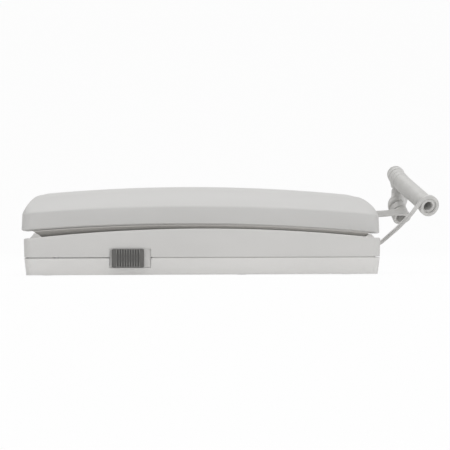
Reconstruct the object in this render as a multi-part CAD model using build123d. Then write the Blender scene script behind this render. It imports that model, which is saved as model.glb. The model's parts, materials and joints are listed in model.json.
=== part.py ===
from build123d import *
import os
from math import asin, cos, degrees, pi, radians, sin, sqrt, tan

import numpy as np

os.makedirs("parts", exist_ok=True)

# All sizes are in millimetres. The unit lies on its back, as it leaves the wall: X runs along
# it towards the end where the cord comes out, Y across it, Z away from the wall. The origin is
# the middle of its back, level with the stand-off pips.

# Shared sizes
overrun = 2.0  # how far a cutting shape runs past the face that it cuts
fit_gap = 0.15  # room between pieces that slot together
thread_gap = 0.02  # room between a screw and its hole
board_thickness = 1.6
driver_slot_width = 0.8
driver_slot_depth = 0.7

# Base, outside
base_length = 205.2
base_width = 80.0
base_corner_radius = 4.0
base_wall = 2.2
pip_height = 0.3
parting_height = 10.1
parting_gap = 0.5
rim_middle_height = 26.6
rim_end_height = 21.2
rim_shelf_length = 3.6
rim_round = 0.8
rear_draft = 1.1
front_draft = 0.45

# Cradle in the front cover
tray_length = 192.4
tray_width = 57.2
tray_corner_radius = 6.0
tray_depth = 3.5
lug_width = 72.0
lug_foot_position = 99.1
lug_outer_slope = 48.0
ear_lug_height = 2.8
mouth_lug_height = 2.0
well_floor_height = 16.8
well_corner_radius = 14.0
ear_well_position = -72.0
ear_well_length = 46.0
ear_well_width = 50.0
mouth_well_position = 74.0
mouth_well_length = 41.0
mouth_well_width = 44.0
call_slot_count = 6
call_slot_width = 1.8
call_slot_length = 20.0
call_slot_pitch = 4.0

# Rear cover details
lip_height = 2.2
lip_root = 3.0
lip_wall = 1.2
pip_radius = 2.6
pip_places = [-89.5, 22.6, 84.0]
pip_row = 27.0
wall_screw_spacing = 60.0
wall_slot_width = 4.4
wall_slot_length = 9.0
cable_entry_position = 14.0
cable_entry_length = 20.0
cable_entry_width = 14.0
cable_entry_corner = 2.0

# Screws that join the two covers
cover_screw_radius = 1.3
cover_screw_length = 12.0
cover_screw_head_radius = 2.5
cover_screw_head_height = 1.6
cover_screw_along = 84.0
cover_screw_across = 34.2
cover_screw_seat = 4.5
cover_post_radius = 3.2

# Slide knob and its pocket in the long side
knob_length = 18.2
knob_height = 10.4
knob_proud = 1.1
knob_position = -43.5
knob_bottom = 4.6
knob_travel = 3.8
knob_play = 0.25
knob_end_bar = 2.6
knob_groove_count = 9
knob_groove_width = 0.7
knob_groove_depth = 0.6
knob_dish = 0.5
knob_round = 0.45
pocket_depth = 0.9
pocket_left_room = 1.4
stem_length = 5.0
stem_height = 3.0

# Base board and what it carries
base_board_length = 118.0
base_board_width = 58.0
base_board_height = 5.2
base_board_position = -18.0
base_board_corner = 2.0
driver_hole_radius = 4.5
board_post_radius = 3.0
board_post_along = 50.0
board_post_across = 24.5
board_screw_radius = 1.1
board_screw_length = 4.0
board_screw_head_radius = 2.2
board_screw_head_height = 1.3
terminal_length = 25.0
terminal_width = 10.0
terminal_height = 8.6
terminal_across = -18.0
terminal_ways = 4
terminal_screw_radius = 1.7
terminal_screw_length = 4.5
terminal_wire_radius = 1.4
speaker_radius = 13.0
speaker_height = 9.0
speaker_position = -10.0
speaker_across = 6.0
speaker_cap_height = 2.0
slide_switch_length = 13.0
slide_switch_width = 6.0
slide_switch_height = 5.2
slide_switch_overhang = 1.0
capacitor_radius = 4.0
capacitor_height = 7.0
choke_radius = 4.6
choke_height = 5.6
chip_length = 10.0
chip_width = 6.2
chip_height = 1.8
component_places_share = [(0.8, 0.4), (0.62, 0.4), (0.62, 0.74)]  # of half the board each way
choke_place_share = (0.86, -0.35)
chip_place_share = (-0.05, 0.78)

# Hook lever, turning on a pin across the unit
hook_pivot_position = -50.0
hook_pivot_height = 11.0
hook_reach = 17.0
hook_arm_width = 7.0
hook_arm_thickness = 2.4
hook_nose_length = 7.0
hook_nose_proud = 1.6
hook_nose_round = 1.4
hook_nose_room = 0.5
hook_nose_swing = 1.9
hook_hub_radius = 2.6
pin_radius = 1.25
pin_gap = 0.05
bracket_thickness = 2.4
bracket_room = 3.9
hook_switch_length = 8.0
hook_switch_width = 6.0
hook_switch_gap = 0.3
hook_switch_position = -61.5
hook_plunger_radius = 1.2
hook_plunger_height = 0.9
hook_spring_wire = 0.5
hook_spring_radius = 1.85
hook_spring_pitch = 0.98
hook_spring_turns = 3
hook_spring_leg = 3.2

# Handset, outside. Heights are those of its middle, before it leans on the hook lever.
handset_length = 208.0
handset_width = 60.0
handset_corner_radius = 6.0
handset_wall = 2.2
handset_bend_radius = 1150.0
bend_sweep_share = 0.56  # of the handset's length, to each side
handset_low_height = 29.1
handset_crease_height = 39.2
handset_line_height = 42.0
handset_crown_height = 51.4
handset_side_draft = 0.4
handset_line_inset = 2.8
bevel_run = 10.5
bevel_rise = 11.6
bevel_belly_run = 3.4
bevel_belly_rise = 6.8
handset_lean = 0.4

# Handset, inner shell
inner_step = 4.4
inner_chamfer = 3.6
inner_side_inset = 0.7
inner_end_inset = 6.2
inner_end_run = 6.3
inner_wall = 2.0
inner_seat_gap = 0.1
inner_lip_wall = 1.3
dome_wall = 2.0
dome_draft = 2.0
dome_corner_radius = 12.0
ear_dome_length = 40.0
ear_dome_width = 44.0
ear_dome_drop = 4.1
mouth_dome_length = 35.0
mouth_dome_width = 38.0
mouth_dome_drop = 4.4
ear_hole_radius = 1.1
ear_hole_ring_radius = 8.0
ear_hole_count = 8
mouth_hole_radius = 0.9
mouth_hole_pitch = 4.0
mouth_hole_count = 3

# Inside the handset
earpiece_radius = 15.0
earpiece_height = 7.0
earpiece_magnet_radius = 7.0
earpiece_magnet_height = 3.0
gasket_thickness = 1.0
gasket_width = 3.0
microphone_radius = 4.85
microphone_height = 5.2
boot_wall = 1.4
boot_base = 1.0
handset_board_length = 44.0
handset_board_width = 26.0
handset_board_lift = 6.1
handset_board_post_radius = 2.2
handset_board_post_inset = 4.0
handset_post_radius = 3.0
handset_boss_radius = 4.2
handset_boss_height = 2.0
handset_screw_radius = 1.2
handset_screw_length = 15.0
handset_screw_head_radius = 2.3
handset_screw_head_height = 1.4
handset_screw_sink = 1.7
handset_screw_along = 36.0
button_position = 6.0
button_length = 16.0
button_width = 11.0
button_corner_radius = 3.0
button_proud = 0.7
button_round = 0.42
button_travel = 1.2
button_flange = 1.0
button_flange_height = 1.0
button_stop_gap = 0.1
button_stub_radius = 1.2
door_switch_side = 4.4
door_switch_height = 2.4
door_plunger_radius = 1.0
door_plunger_gap = 0.3
spring_wire = 0.5
spring_radius = 3.95
spring_turns = 4
ballast_position = -36.0
ballast_length = 30.0
ballast_width = 36.0
ballast_thickness = 3.0
ballast_gap = 0.05

# Cord. Its round tube stands for a flat cord 3.7 wide and 2.2 thick.
cord_tube = 2.8
coil_radius = 4.0
coil_turns = 20.5
coil_start_flare = 0.75
coil_end_flare = 0.65
coil_flare_turns = 0.9
coil_flare_power = 1.5
coil_bend_smoothing = 6.0
coil_start_side = (-0.32, -0.51, 0.80)  # which way from the middle line the first turn begins
coil_least_gap = 0.4
sample_shares = (0, 0.2, 0.4, 0.6, 0.8)  # where the gap is measured, along each arc
apart_turn_share = 0.4  # stretches this many turns apart must keep the gap
lead_end_run = 5.0
lead_arc_share = 0.45  # of the shorter run, on each side of a bend
gland_width = 6.5
gland_height = 4.8
gland_flange = 0.75
gland_flange_thickness = 1.0
gland_nose_radius = 2.3
base_exit_across = -4.0
base_exit_height = 15.6
base_exit_rise = 20.0
base_exit_reach = 2.0
base_exit_run = 3.6
handset_exit_height = 35.3
handset_exit_reach = 1.8
handset_exit_gap = 0.15
handset_gland_recess = 2.8
handset_exit_run = 4.0
base_lead_route = [
    (110.9, -4.7, 20.1),
    (114.2, -8.2, 23.6),
    (117.5, -14.6, 27.5),
    (120.6, -20.9, 31.5),
    (123.6, -25.2, 35.1),
]
coil_route = [
    (135.3, -21.7, 38.6),
    (130.4, -9.0, 45.5),
    (126.4, 2.0, 50.8),
    (122.9, 12.0, 56.2),
    (122.4, 21.5, 60.2),
    (125.0, 30.0, 59.6),
    (127.8, 35.2, 54.0),
    (128.0, 34.8, 47.4),
    (126.2, 29.0, 43.2),
    (123.7, 21.0, 41.3),
    (122.5, 13.0, 39.1),
    (122.8, 7.6, 32.4),
]


def save(node, shape):
    """Writes one sub-part under its node name."""
    shape.label = node
    export_step(shape, "parts/" + node + ".step")
    print(node, "volume", round(shape.volume, 1))


def slab(length, width, height, corner, bottom, x=0, y=0):
    """A plate or block with rounded upright corners, standing on the given height."""
    outline = Plane.XY.offset(bottom) * Pos(x, y) * RectangleRounded(length, width, corner)
    return extrude(outline, amount=height)


def drum(radius, height, bottom, x=0, y=0):
    """An upright cylinder standing on the given height."""
    return extrude(Plane.XY.offset(bottom) * Pos(x, y) * Circle(radius), amount=height)


def rod(radius, length, x, y, z):
    """A cylinder lying across the unit, centred on the given place."""
    return Pos(x, y, z) * Cylinder(radius, length, rotation=(90, 0, 0))


def block(length, width, height, x, y, z):
    """A plain box centred on the given place."""
    return Pos(x, y, z) * Box(length, width, height)


def drafted_slab(low_size, high_size, corner, bottom, top):
    """A block whose outline changes evenly from one height to another."""
    low = Plane.XY.offset(bottom) * RectangleRounded(low_size[0], low_size[1], corner)
    high = Plane.XY.offset(top) * RectangleRounded(high_size[0], high_size[1], corner)
    return loft([low.face(), high.face()], ruled=True)


def side_prism(edges, width):
    """A solid whose outline is drawn on the long side, centred on Y."""
    return extrude(make_face(edges), amount=width / 2, dir=(0, 1, 0), both=True)


def gathered(pieces):
    """Several loose solids as one sub-part."""
    return Part() + pieces


def closed_outline(*corners):
    return Polyline(*corners, close=True).edges()


def screw(radius, length, head_radius, head_height):
    """A slotted pan-head screw: its head seat is at the origin and its shank points up."""
    whole = drum(radius, length, 0) + drum(head_radius, head_height, -head_height)
    slot_middle = driver_slot_depth / 2 - head_height
    return whole - block(2 * head_radius, driver_slot_width, driver_slot_depth, 0, 0, slot_middle)


def four_places(x_middle, along, across):
    """Four places at the corners of a rectangle."""
    return [(x_middle + i * along, j * across) for i in (-1, 1) for j in (-1, 1)]


# Arched rim of the base: a flat shelf at each end and one shallow arc between them
rim_arc_half = base_length / 2 - rim_shelf_length
rim_rise = rim_middle_height - rim_end_height
rim_bend_radius = (rim_arc_half**2 + rim_rise**2) / (2 * rim_rise)


def rim_height_at(x):
    """Height of the rim at a place along the unit."""
    if abs(x) >= rim_arc_half:
        return rim_end_height
    return rim_middle_height - rim_bend_radius + sqrt(rim_bend_radius**2 - x**2)


def below_rim(drop):
    """Everything under the rim line lowered by a drop."""
    shelf = rim_end_height - drop
    arc_start = (-rim_arc_half, 0, shelf)
    arc_end = (rim_arc_half, 0, shelf)
    outer_start = (-base_length, 0, shelf)
    outer_end = (base_length, 0, shelf)
    edges = [
        Line(outer_start, arc_start),
        ThreePointArc(arc_start, (0, 0, rim_middle_height - drop), arc_end),
        Line(arc_end, outer_end),
        Line(outer_end, (base_length, 0, 0)),
        Line((base_length, 0, 0), (-base_length, 0, 0)),
        Line((-base_length, 0, 0), outer_start),
    ]
    return side_prism(edges, 2 * base_width)


def above_tray(drop):
    """Everything over the rim line lowered by a drop, as far as the rim's arc goes."""
    low = rim_end_height - drop
    top = 2 * rim_middle_height
    start = (-rim_arc_half, 0, low)
    end = (rim_arc_half, 0, low)
    edges = [
        ThreePointArc(start, (0, 0, rim_middle_height - drop), end),
        Line(end, (rim_arc_half, 0, top)),
        Line((rim_arc_half, 0, top), (-rim_arc_half, 0, top)),
        Line((-rim_arc_half, 0, top), start),
    ]
    return side_prism(edges, 2 * base_width)


# Outlines of the base at its three levels
cover_low_size = (base_length - 2 * front_draft, base_width - 2 * front_draft)
back_size = (cover_low_size[0] - 2 * rear_draft, cover_low_size[1] - 2 * rear_draft)
cover_floor = parting_height + parting_gap / 2
rear_top = parting_height - parting_gap / 2
floor_top = pip_height + base_wall
board_top = base_board_height + board_thickness
inner_corner = base_corner_radius - base_wall / 2


def shrunk(size):
    """An outline drawn in by the wall all round."""
    return (size[0] - 2 * base_wall, size[1] - 2 * base_wall)


# Slide knob pocket, shared by both covers, the knob and the switch behind it
pocket_left = knob_position - knob_length / 2 - pocket_left_room
pocket_right = knob_position + knob_length / 2 + knob_travel + knob_play
pocket_length = pocket_right - pocket_left
pocket_middle = (pocket_left + pocket_right) / 2
pocket_bottom = knob_bottom - knob_play
pocket_top = knob_bottom + knob_height + knob_play
pocket_face = pocket_depth + front_draft - base_width / 2
tongue_inner = pocket_face + base_wall
tongue_middle = (pocket_face + tongue_inner) / 2
stem_middle_height = knob_bottom + knob_height / 2
slide_switch_face = -base_board_width / 2 - slide_switch_overhang
knob_back = pocket_face - fit_gap
knob_face = -base_width / 2 - knob_proud

# Hook lever places, shared with the slot and the bracket in the front cover
nose_right = hook_pivot_position - hook_reach + hook_nose_length / 2
nose_left = nose_right - hook_nose_length
nose_top = well_floor_height + hook_nose_proud
pin_length = hook_arm_width + 2 * bracket_room + 2 * bracket_thickness

wells = (
    (ear_well_position, ear_well_length, ear_well_width),
    (mouth_well_position, mouth_well_length, mouth_well_width),
)
cover_screw_places = four_places(0, cover_screw_along, cover_screw_across)
board_post_places = four_places(base_board_position, board_post_along, board_post_across)


def lug(side, height):
    """End stop of the cradle: a bar across the unit with a sloping outer face."""
    run = height / tan(radians(lug_outer_slope))
    inner = tray_length / 2
    peak = lug_foot_position - run
    peak_height = rim_end_height + height
    inner_slope = inner_step / inner_end_run
    inner_height = peak_height - (peak - inner) * inner_slope
    foot = rim_end_height - rim_round
    corners = [
        (side * inner, 0, foot),
        (side * inner, 0, inner_height),
        (side * peak, 0, peak_height),
        (side * lug_foot_position, 0, rim_end_height),
        (side * lug_foot_position, 0, foot),
    ]
    return side_prism(closed_outline(*corners), lug_width)


def build_front_cover():
    top = rim_middle_height + overrun
    outline_size = (base_length, base_width)
    body = drafted_slab(cover_low_size, outline_size, base_corner_radius, cover_floor, top) & below_rim(0)
    rim_edges = body.edges().filter_by(lambda e: e.center().Z > rim_end_height - rim_round / 2)
    body = fillet(rim_edges, rim_round)
    body += lug(-1, ear_lug_height)
    body += lug(1, mouth_lug_height)

    room = drafted_slab(
        shrunk(cover_low_size), shrunk(outline_size), inner_corner, cover_floor - overrun, top
    )
    room = room & below_rim(base_wall)
    height = 2 * rim_middle_height
    tray = slab(tray_length, tray_width, height, tray_corner_radius, 0) & above_tray(tray_depth)
    skin_length = tray_length + 2 * base_wall
    skin = slab(skin_length, tray_width + 2 * base_wall, height, tray_corner_radius + base_wall, 0)
    room -= skin & above_tray(tray_depth + base_wall)
    for x, length, width in wells:
        skin_corner = well_corner_radius + base_wall
        room -= slab(
            length + 2 * base_wall, width + 2 * base_wall, height, skin_corner,
            well_floor_height - base_wall, x
        )
    cover = body - room - tray

    # Hole for the cord gland in the end wall, then the two wells
    cover -= block(
        3 * base_wall, gland_width, gland_height, base_length / 2, base_exit_across, base_exit_height
    )
    for x, length, width in wells:
        cover -= slab(length, width, height, well_corner_radius, well_floor_height, x)

    # Slots over the call speaker
    for index in range(call_slot_count):
        x = speaker_position + (index - (call_slot_count - 1) / 2) * call_slot_pitch
        slot = Pos(x, speaker_across) * SlotOverall(call_slot_length, call_slot_width, rotation=90)
        cover -= extrude(Plane.XY.offset(parting_height) * slot, amount=rim_middle_height)

    # Slot for the nose of the hook lever, and the bracket that carries its pin
    slot_left = nose_left - hook_nose_room
    slot_right = nose_right + hook_nose_room + hook_nose_swing
    slot_width = hook_arm_width + 2 * hook_nose_room
    well_floor_middle = well_floor_height - base_wall / 2
    slot_length = slot_right - slot_left
    slot_middle = (slot_left + slot_right) / 2
    cover -= block(slot_length, slot_width, 2 * base_wall, slot_middle, 0, well_floor_middle)
    bracket_bottom = hook_pivot_height - hook_hub_radius
    bracket_height = well_floor_middle - bracket_bottom
    for side in (-1, 1):
        y = side * (hook_arm_width / 2 + bracket_room + bracket_thickness / 2)
        cover += block(
            2 * hook_hub_radius, bracket_thickness, bracket_height,
            hook_pivot_position, y, bracket_bottom + bracket_height / 2
        )
    pin_hole_length = pin_length + 2 * overrun
    cover -= rod(pin_radius + thread_gap, pin_hole_length, hook_pivot_position, 0, hook_pivot_height)

    # Posts for the cover screws
    for x, y in cover_screw_places:
        post_height = rim_height_at(x) - base_wall / 2 - cover_floor
        cover += drum(cover_post_radius, post_height, cover_floor, x, y)
        hole_height = cover_screw_seat + cover_screw_length + overrun / 2 - cover_floor
        cover -= drum(cover_screw_radius + thread_gap, hole_height, cover_floor, x, y)

    # Tongue behind the slide knob: it closes the notch of the rear cover
    tongue_bottom = pocket_bottom + fit_gap
    tongue_height = cover_floor - tongue_bottom + overrun
    cover += block(
        pocket_length - 2 * fit_gap, base_wall, tongue_height,
        pocket_middle, tongue_middle, tongue_bottom + tongue_height / 2
    )
    backing_height = pocket_top + base_wall - cover_floor
    cover += block(
        pocket_length + 2 * base_wall, base_wall, backing_height,
        pocket_middle, tongue_middle, cover_floor + backing_height / 2
    )
    cover -= block(
        pocket_length, base_width / 2, pocket_top - pocket_bottom,
        pocket_middle, pocket_face - base_width / 4, (pocket_top + pocket_bottom) / 2
    )
    cover -= block(
        stem_length + knob_travel + 2 * knob_play, 2 * base_wall, stem_height + 2 * knob_play,
        knob_position + knob_travel / 2, tongue_middle, stem_middle_height
    )
    return cover


def build_rear_cover():
    cover = drafted_slab(back_size, cover_low_size, base_corner_radius, pip_height, rear_top)
    foot = cover
    cover -= drafted_slab(
        shrunk(back_size), shrunk(cover_low_size), inner_corner, floor_top, rear_top + overrun
    )

    # Lip that locates the front cover, cut away at its posts and behind the slide knob
    lip_size = shrunk(cover_low_size)
    lip_length = lip_size[0] - 2 * fit_gap
    lip_width = lip_size[1] - 2 * fit_gap
    lip_bottom = rear_top - lip_root
    lip = slab(lip_length, lip_width, lip_root + lip_height, inner_corner, lip_bottom)
    lip -= slab(
        lip_length - 2 * lip_wall, lip_width - 2 * lip_wall, lip_root + 2 * lip_height,
        inner_corner - lip_wall / 2, lip_bottom - overrun
    )
    cover += lip
    for x, y in cover_screw_places:
        cover -= drum(cover_post_radius + 2 * fit_gap, 2 * lip_height, rear_top, x, y)
        column = drum(cover_post_radius, rear_top - pip_height, pip_height, x, y) & foot
        cover += column
        cover -= drum(cover_screw_head_radius + fit_gap, cover_screw_seat, 0, x, y)
        cover -= drum(cover_screw_radius + fit_gap, rear_top, 0, x, y)
    cover -= block(
        pocket_length + 2 * base_wall + 2 * fit_gap, 4 * base_wall, 2 * lip_height,
        pocket_middle, tongue_middle, rear_top + lip_height
    )

    # Notch for the knob pocket and its tongue
    cover -= block(
        pocket_length, 8 * base_wall, pocket_top - pocket_bottom,
        pocket_middle, -base_width / 2, (pocket_top + pocket_bottom) / 2
    )

    for x in pip_places:
        for side in (-1, 1):
            cover += drum(pip_radius, 2 * pip_height, 0, x, side * pip_row)

    post_height = base_board_height - floor_top
    for x, y in board_post_places:
        cover += drum(board_post_radius, post_height + base_wall / 2, floor_top - base_wall / 2, x, y)
        cover -= drum(board_screw_radius + thread_gap, post_height + overrun, floor_top, x, y)

    for side in (-1, 1):
        slot = Pos(side * wall_screw_spacing / 2, 0) * SlotOverall(wall_slot_length, wall_slot_width)
        cover -= extrude(Plane.XY.offset(-overrun) * slot, amount=floor_top + 2 * overrun)
    cover -= slab(
        cable_entry_length, cable_entry_width, floor_top + 2 * overrun, cable_entry_corner,
        -overrun, cable_entry_position
    )
    return cover


def build_cover_screws():
    one = screw(cover_screw_radius, cover_screw_length, cover_screw_head_radius, cover_screw_head_height)
    return gathered([Pos(x, y, cover_screw_seat) * one for x, y in cover_screw_places])


def build_board_screws():
    one = screw(board_screw_radius, board_screw_length, board_screw_head_radius, board_screw_head_height)
    turned = Rot(180, 0, 0) * one
    return gathered([Pos(x, y, board_top) * turned for x, y in board_post_places])


def build_base_board():
    board = slab(
        base_board_length, base_board_width, board_thickness, base_board_corner,
        base_board_height, base_board_position
    )
    for x, y in board_post_places:
        hole_bottom = base_board_height - board_thickness
        board -= drum(board_screw_radius + fit_gap, 3 * board_thickness, hole_bottom, x, y)
    for side in (-1, 1):
        x = side * wall_screw_spacing / 2
        board -= drum(driver_hole_radius, 3 * board_thickness, base_board_height - board_thickness, x)
    board -= slab(
        cable_entry_length, cable_entry_width, 3 * board_thickness, cable_entry_corner,
        base_board_height - board_thickness, cable_entry_position
    )
    return board


def build_slide_knob():
    middle_height = knob_bottom + knob_height / 2
    depth = knob_back - knob_face
    cap = Box(knob_length, depth, knob_height)
    cap = fillet(cap.edges(), knob_round)
    cap = Pos(knob_position, (knob_face + knob_back) / 2, middle_height) * cap

    # Dished face between two end bars, with grooves across the sliding direction
    half = knob_height / 2 - knob_round
    dish_radius = (half**2 + knob_dish**2) / (2 * knob_dish)
    dish_length = knob_length - 2 * knob_end_bar
    dish = Cylinder(dish_radius, dish_length, rotation=(0, 90, 0))
    cap -= Pos(knob_position, knob_face + knob_dish - dish_radius, middle_height) * dish
    pitch = dish_length / knob_groove_count
    groove_reach = knob_dish + knob_groove_depth
    for index in range(knob_groove_count):
        x = knob_position - dish_length / 2 + (index + 0.5) * pitch
        cap -= block(
            knob_groove_width, 2 * groove_reach, 2 * half - knob_round, x, knob_face, middle_height
        )
    stem_start = knob_back - knob_round
    stem_end = slide_switch_face - fit_gap
    cap += block(
        stem_length, stem_end - stem_start, stem_height,
        knob_position, (stem_start + stem_end) / 2, stem_middle_height
    )
    return cap


def build_slide_switch():
    x = knob_position + knob_travel / 2
    y = slide_switch_face + slide_switch_width / 2
    return block(
        slide_switch_length, slide_switch_width, slide_switch_height, x, y,
        board_top + slide_switch_height / 2
    )


def terminal_way_places():
    pitch = terminal_length / terminal_ways
    first = cable_entry_position - terminal_length / 2 + pitch / 2
    return [first + index * pitch for index in range(terminal_ways)]


def build_terminal_block():
    top = board_top + terminal_height
    body = block(
        terminal_length, terminal_width, terminal_height,
        cable_entry_position, terminal_across, board_top + terminal_height / 2
    )
    wire_height = top - terminal_screw_length - terminal_wire_radius / 2
    for x in terminal_way_places():
        body -= drum(
            terminal_screw_radius + fit_gap, terminal_screw_length + overrun, top - terminal_screw_length,
            x, terminal_across
        )
        wire_across = terminal_across + terminal_width / 2
        body -= rod(terminal_wire_radius, terminal_width, x, wire_across, wire_height)
    return body


def build_terminal_screws():
    top = board_top + terminal_height
    screws = []
    for x in terminal_way_places():
        height = terminal_screw_length - fit_gap
        one = drum(terminal_screw_radius, height, top - terminal_screw_length, x, terminal_across)
        slot_height = top - fit_gap - driver_slot_depth / 2
        slot_length = 2 * terminal_screw_radius + overrun
        one -= block(slot_length, driver_slot_width, driver_slot_depth, x, terminal_across, slot_height)
        screws.append(one)
    return gathered(screws)


def build_call_speaker():
    """A round ringer capsule standing on the board under the slots."""
    body = drum(speaker_radius, speaker_height, board_top, speaker_position, speaker_across)
    body += drum(
        speaker_radius / 2, speaker_cap_height, board_top + speaker_height, speaker_position, speaker_across
    )
    return body


def on_board(share):
    """A place on the base board from shares of half its length and width."""
    x = base_board_position + share[0] * base_board_length / 2
    return x, share[1] * base_board_width / 2


def build_board_components():
    """Capacitors, a choke and a chip soldered on the base board."""
    pieces = []
    for share in component_places_share:
        pieces.append(drum(capacitor_radius, capacitor_height, board_top, *on_board(share)))
    x, y = on_board(choke_place_share)
    flange = choke_height / 4
    choke = drum(choke_radius, flange, board_top, x, y)
    choke += drum(choke_radius / 2, choke_height, board_top, x, y)
    choke += drum(choke_radius, flange, board_top + choke_height - flange, x, y)
    pieces.append(choke)
    x, y = on_board(chip_place_share)
    pieces.append(block(chip_length, chip_width, chip_height, x, y, board_top + chip_height / 2))
    return gathered(pieces)


def build_hook_lever():
    arm_length = hook_pivot_position - nose_left
    arm_bottom = hook_pivot_height - hook_arm_thickness / 2
    arm = block(
        arm_length, hook_arm_width, hook_arm_thickness, hook_pivot_position - arm_length / 2, 0,
        hook_pivot_height
    )
    nose_height = nose_top - arm_bottom
    nose = block(
        hook_nose_length, hook_arm_width, nose_height, (nose_left + nose_right) / 2, 0,
        arm_bottom + nose_height / 2
    )
    nose = fillet(nose.edges().group_by(Axis.Z)[-1].filter_by(Axis.Y), hook_nose_round)
    hub = rod(hook_hub_radius, hook_arm_width, hook_pivot_position, 0, hook_pivot_height)
    bore = rod(pin_radius + pin_gap, 2 * hook_arm_width, hook_pivot_position, 0, hook_pivot_height)
    return arm + nose + hub - bore


def build_hook_pin():
    return rod(pin_radius, pin_length, hook_pivot_position, 0, hook_pivot_height)


def build_hook_switch():
    top = hook_pivot_height - hook_arm_thickness / 2 - hook_switch_gap
    body_height = top - hook_plunger_height - board_top
    body = block(
        hook_switch_length, hook_switch_width, body_height, hook_switch_position, 0,
        board_top + body_height / 2
    )
    plunger_bottom = top - hook_plunger_height
    return body + drum(hook_plunger_radius, hook_plunger_height, plunger_bottom, hook_switch_position)


# Wire and cord: every path is a run of arcs and straight stretches that flow into each other


def joined_arcs(places, ways):
    """Two arcs between each pair of places, so that the path has the given way at each place."""
    edges = []
    for start, end, way_out, way_in in zip(places[:-1], places[1:], ways[:-1], ways[1:]):
        chord = end - start
        both = way_out + way_in
        square = 2 * (1 - way_out @ way_in)
        linear = 2 * (chord @ both)
        handle = (sqrt(linear**2 + 4 * square * (chord @ chord)) - linear) / (2 * square)
        first = start + handle * way_out
        second = end - handle * way_in
        joint = (first + second) / 2
        middle_way = (second - first) / np.linalg.norm(second - first)
        edges.append(TangentArc(tuple(start), tuple(joint), tangent=tuple(way_out)))
        edges.append(TangentArc(tuple(joint), tuple(end), tangent=tuple(middle_way)))
    return edges


def wire_along(edges, radius):
    """A round wire of the given radius along connected edges."""
    path = Wire(edges)
    start = edges[0].position_at(0)
    way = edges[0].tangent_at(0)
    section = Plane(origin=start, z_dir=way) * Circle(radius)
    return sweep(section, path=path)


def straight_coil(centre, across, radius, pitch, turns, wire_radius, leg):
    """A coil spring on a straight axis, with a straight leg at each end if asked."""
    axis = np.array(across)
    side = np.array((1.0, 0.0, 0.0))
    over = np.cross(axis, side)
    places = []
    ways = []
    for quarter in range(4 * turns + 1):
        angle = quarter * pi / 2
        lift = pitch * (quarter / 4 - turns / 2)
        outward = cos(angle) * side + sin(angle) * over
        forward = cos(angle) * over - sin(angle) * side
        way = forward * radius + axis * pitch / (2 * pi)
        places.append(np.array(centre) + radius * outward + lift * axis)
        ways.append(way / np.linalg.norm(way))
    edges = joined_arcs(places, ways)
    if leg:
        edges.insert(0, Line(tuple(places[0] - leg * ways[0]), tuple(places[0])))
        edges.append(Line(tuple(places[-1]), tuple(places[-1] + leg * ways[-1])))
    return wire_along(edges, wire_radius)


def build_hook_springs():
    """Two torsion springs round the pin, one on each side of the lever."""
    springs = []
    for side in (-1, 1):
        y = side * (hook_arm_width + bracket_room) / 2
        springs.append(
            straight_coil(
                (hook_pivot_position, y, hook_pivot_height), (0.0, 1.0, 0.0), hook_spring_radius,
                hook_spring_pitch, hook_spring_turns, hook_spring_wire / 2, hook_spring_leg
            )
        )
    return gathered(springs)


# Handset form. Its arched surfaces all turn about one line far below the unit.
bend_axis = Axis((0, 0, handset_low_height - handset_bend_radius), (0, 1, 0))
bend_half_sweep = degrees(asin(bend_sweep_share * handset_length / handset_bend_radius))
inner_face_height = handset_low_height - inner_step
inner_floor_height = inner_face_height + inner_wall


def arch_drop(x):
    """How far the handset's arch lies below its middle at a place along it."""
    return handset_bend_radius - sqrt(handset_bend_radius**2 - x**2)


def arched(edges):
    """Carries a cross-section along the handset's arch."""
    started = make_face(edges).rotate(bend_axis, -bend_half_sweep)
    return revolve(started, axis=bend_axis, revolution_arc=2 * bend_half_sweep)


def band(low, high):
    """Everything between two arched levels."""
    reach = handset_width
    return arched(closed_outline((0, -reach, low), (0, -reach, high), (0, reach, high), (0, reach, low)))


def seated(shape):
    """Leans a handset piece by the small angle at which it rests on the hook lever."""
    return shape.rotate(Axis((0, 0, handset_low_height), (0, 1, 0)), handset_lean)


def handset_form(inset, bottom):
    """The outer form of the handset, or the room inside it for a wall inset."""
    half = handset_width / 2 - inset
    crease_half = half - handset_side_draft
    line_half = crease_half - handset_line_inset
    crease = handset_crease_height - inset / 2
    line_height = handset_line_height - inset
    crown = handset_crown_height - inset
    edges = [
        Line((0, -half, bottom), (0, -crease_half, crease)),
        Line((0, -crease_half, crease), (0, -line_half, line_height)),
        ThreePointArc((0, -line_half, line_height), (0, 0, crown), (0, line_half, line_height)),
        Line((0, line_half, line_height), (0, crease_half, crease)),
        Line((0, crease_half, crease), (0, half, bottom)),
        Line((0, half, bottom), (0, -half, bottom)),
    ]
    end = handset_length / 2 - inset
    end_drop = arch_drop(handset_length / 2)
    plan_bottom = bottom - end_drop - overrun
    form = arched(edges) & slab(
        2 * end, handset_width, 2 * handset_crown_height, handset_corner_radius - inset, plan_bottom
    )
    end_crease = handset_crease_height - end_drop - inset / 2
    peak = end_crease + bevel_rise + 2 * end_drop
    start = (-end, 0, end_crease)
    belly = (bevel_belly_run - end, 0, end_crease + bevel_belly_rise)
    top = (bevel_run - end, 0, end_crease + bevel_rise)
    far_top = (end - bevel_run, 0, end_crease + bevel_rise)
    far_belly = (end - bevel_belly_run, 0, end_crease + bevel_belly_rise)
    far_start = (end, 0, end_crease)
    side = [
        Line((-end, 0, plan_bottom), start),
        ThreePointArc(start, belly, top),
        Line(top, (0, 0, peak)),
        Line((0, 0, peak), far_top),
        ThreePointArc(far_top, far_belly, far_start),
        Line(far_start, (end, 0, plan_bottom)),
        Line((end, 0, plan_bottom), (-end, 0, plan_bottom)),
    ]
    return form & side_prism(side, 2 * handset_width)


# The exit height is stated at rest, so the lean is added before the handset is leant
handset_exit_before = handset_exit_height + handset_length / 2 * tan(radians(handset_lean))
handset_screw_places = (-handset_screw_along, handset_screw_along)


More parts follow.
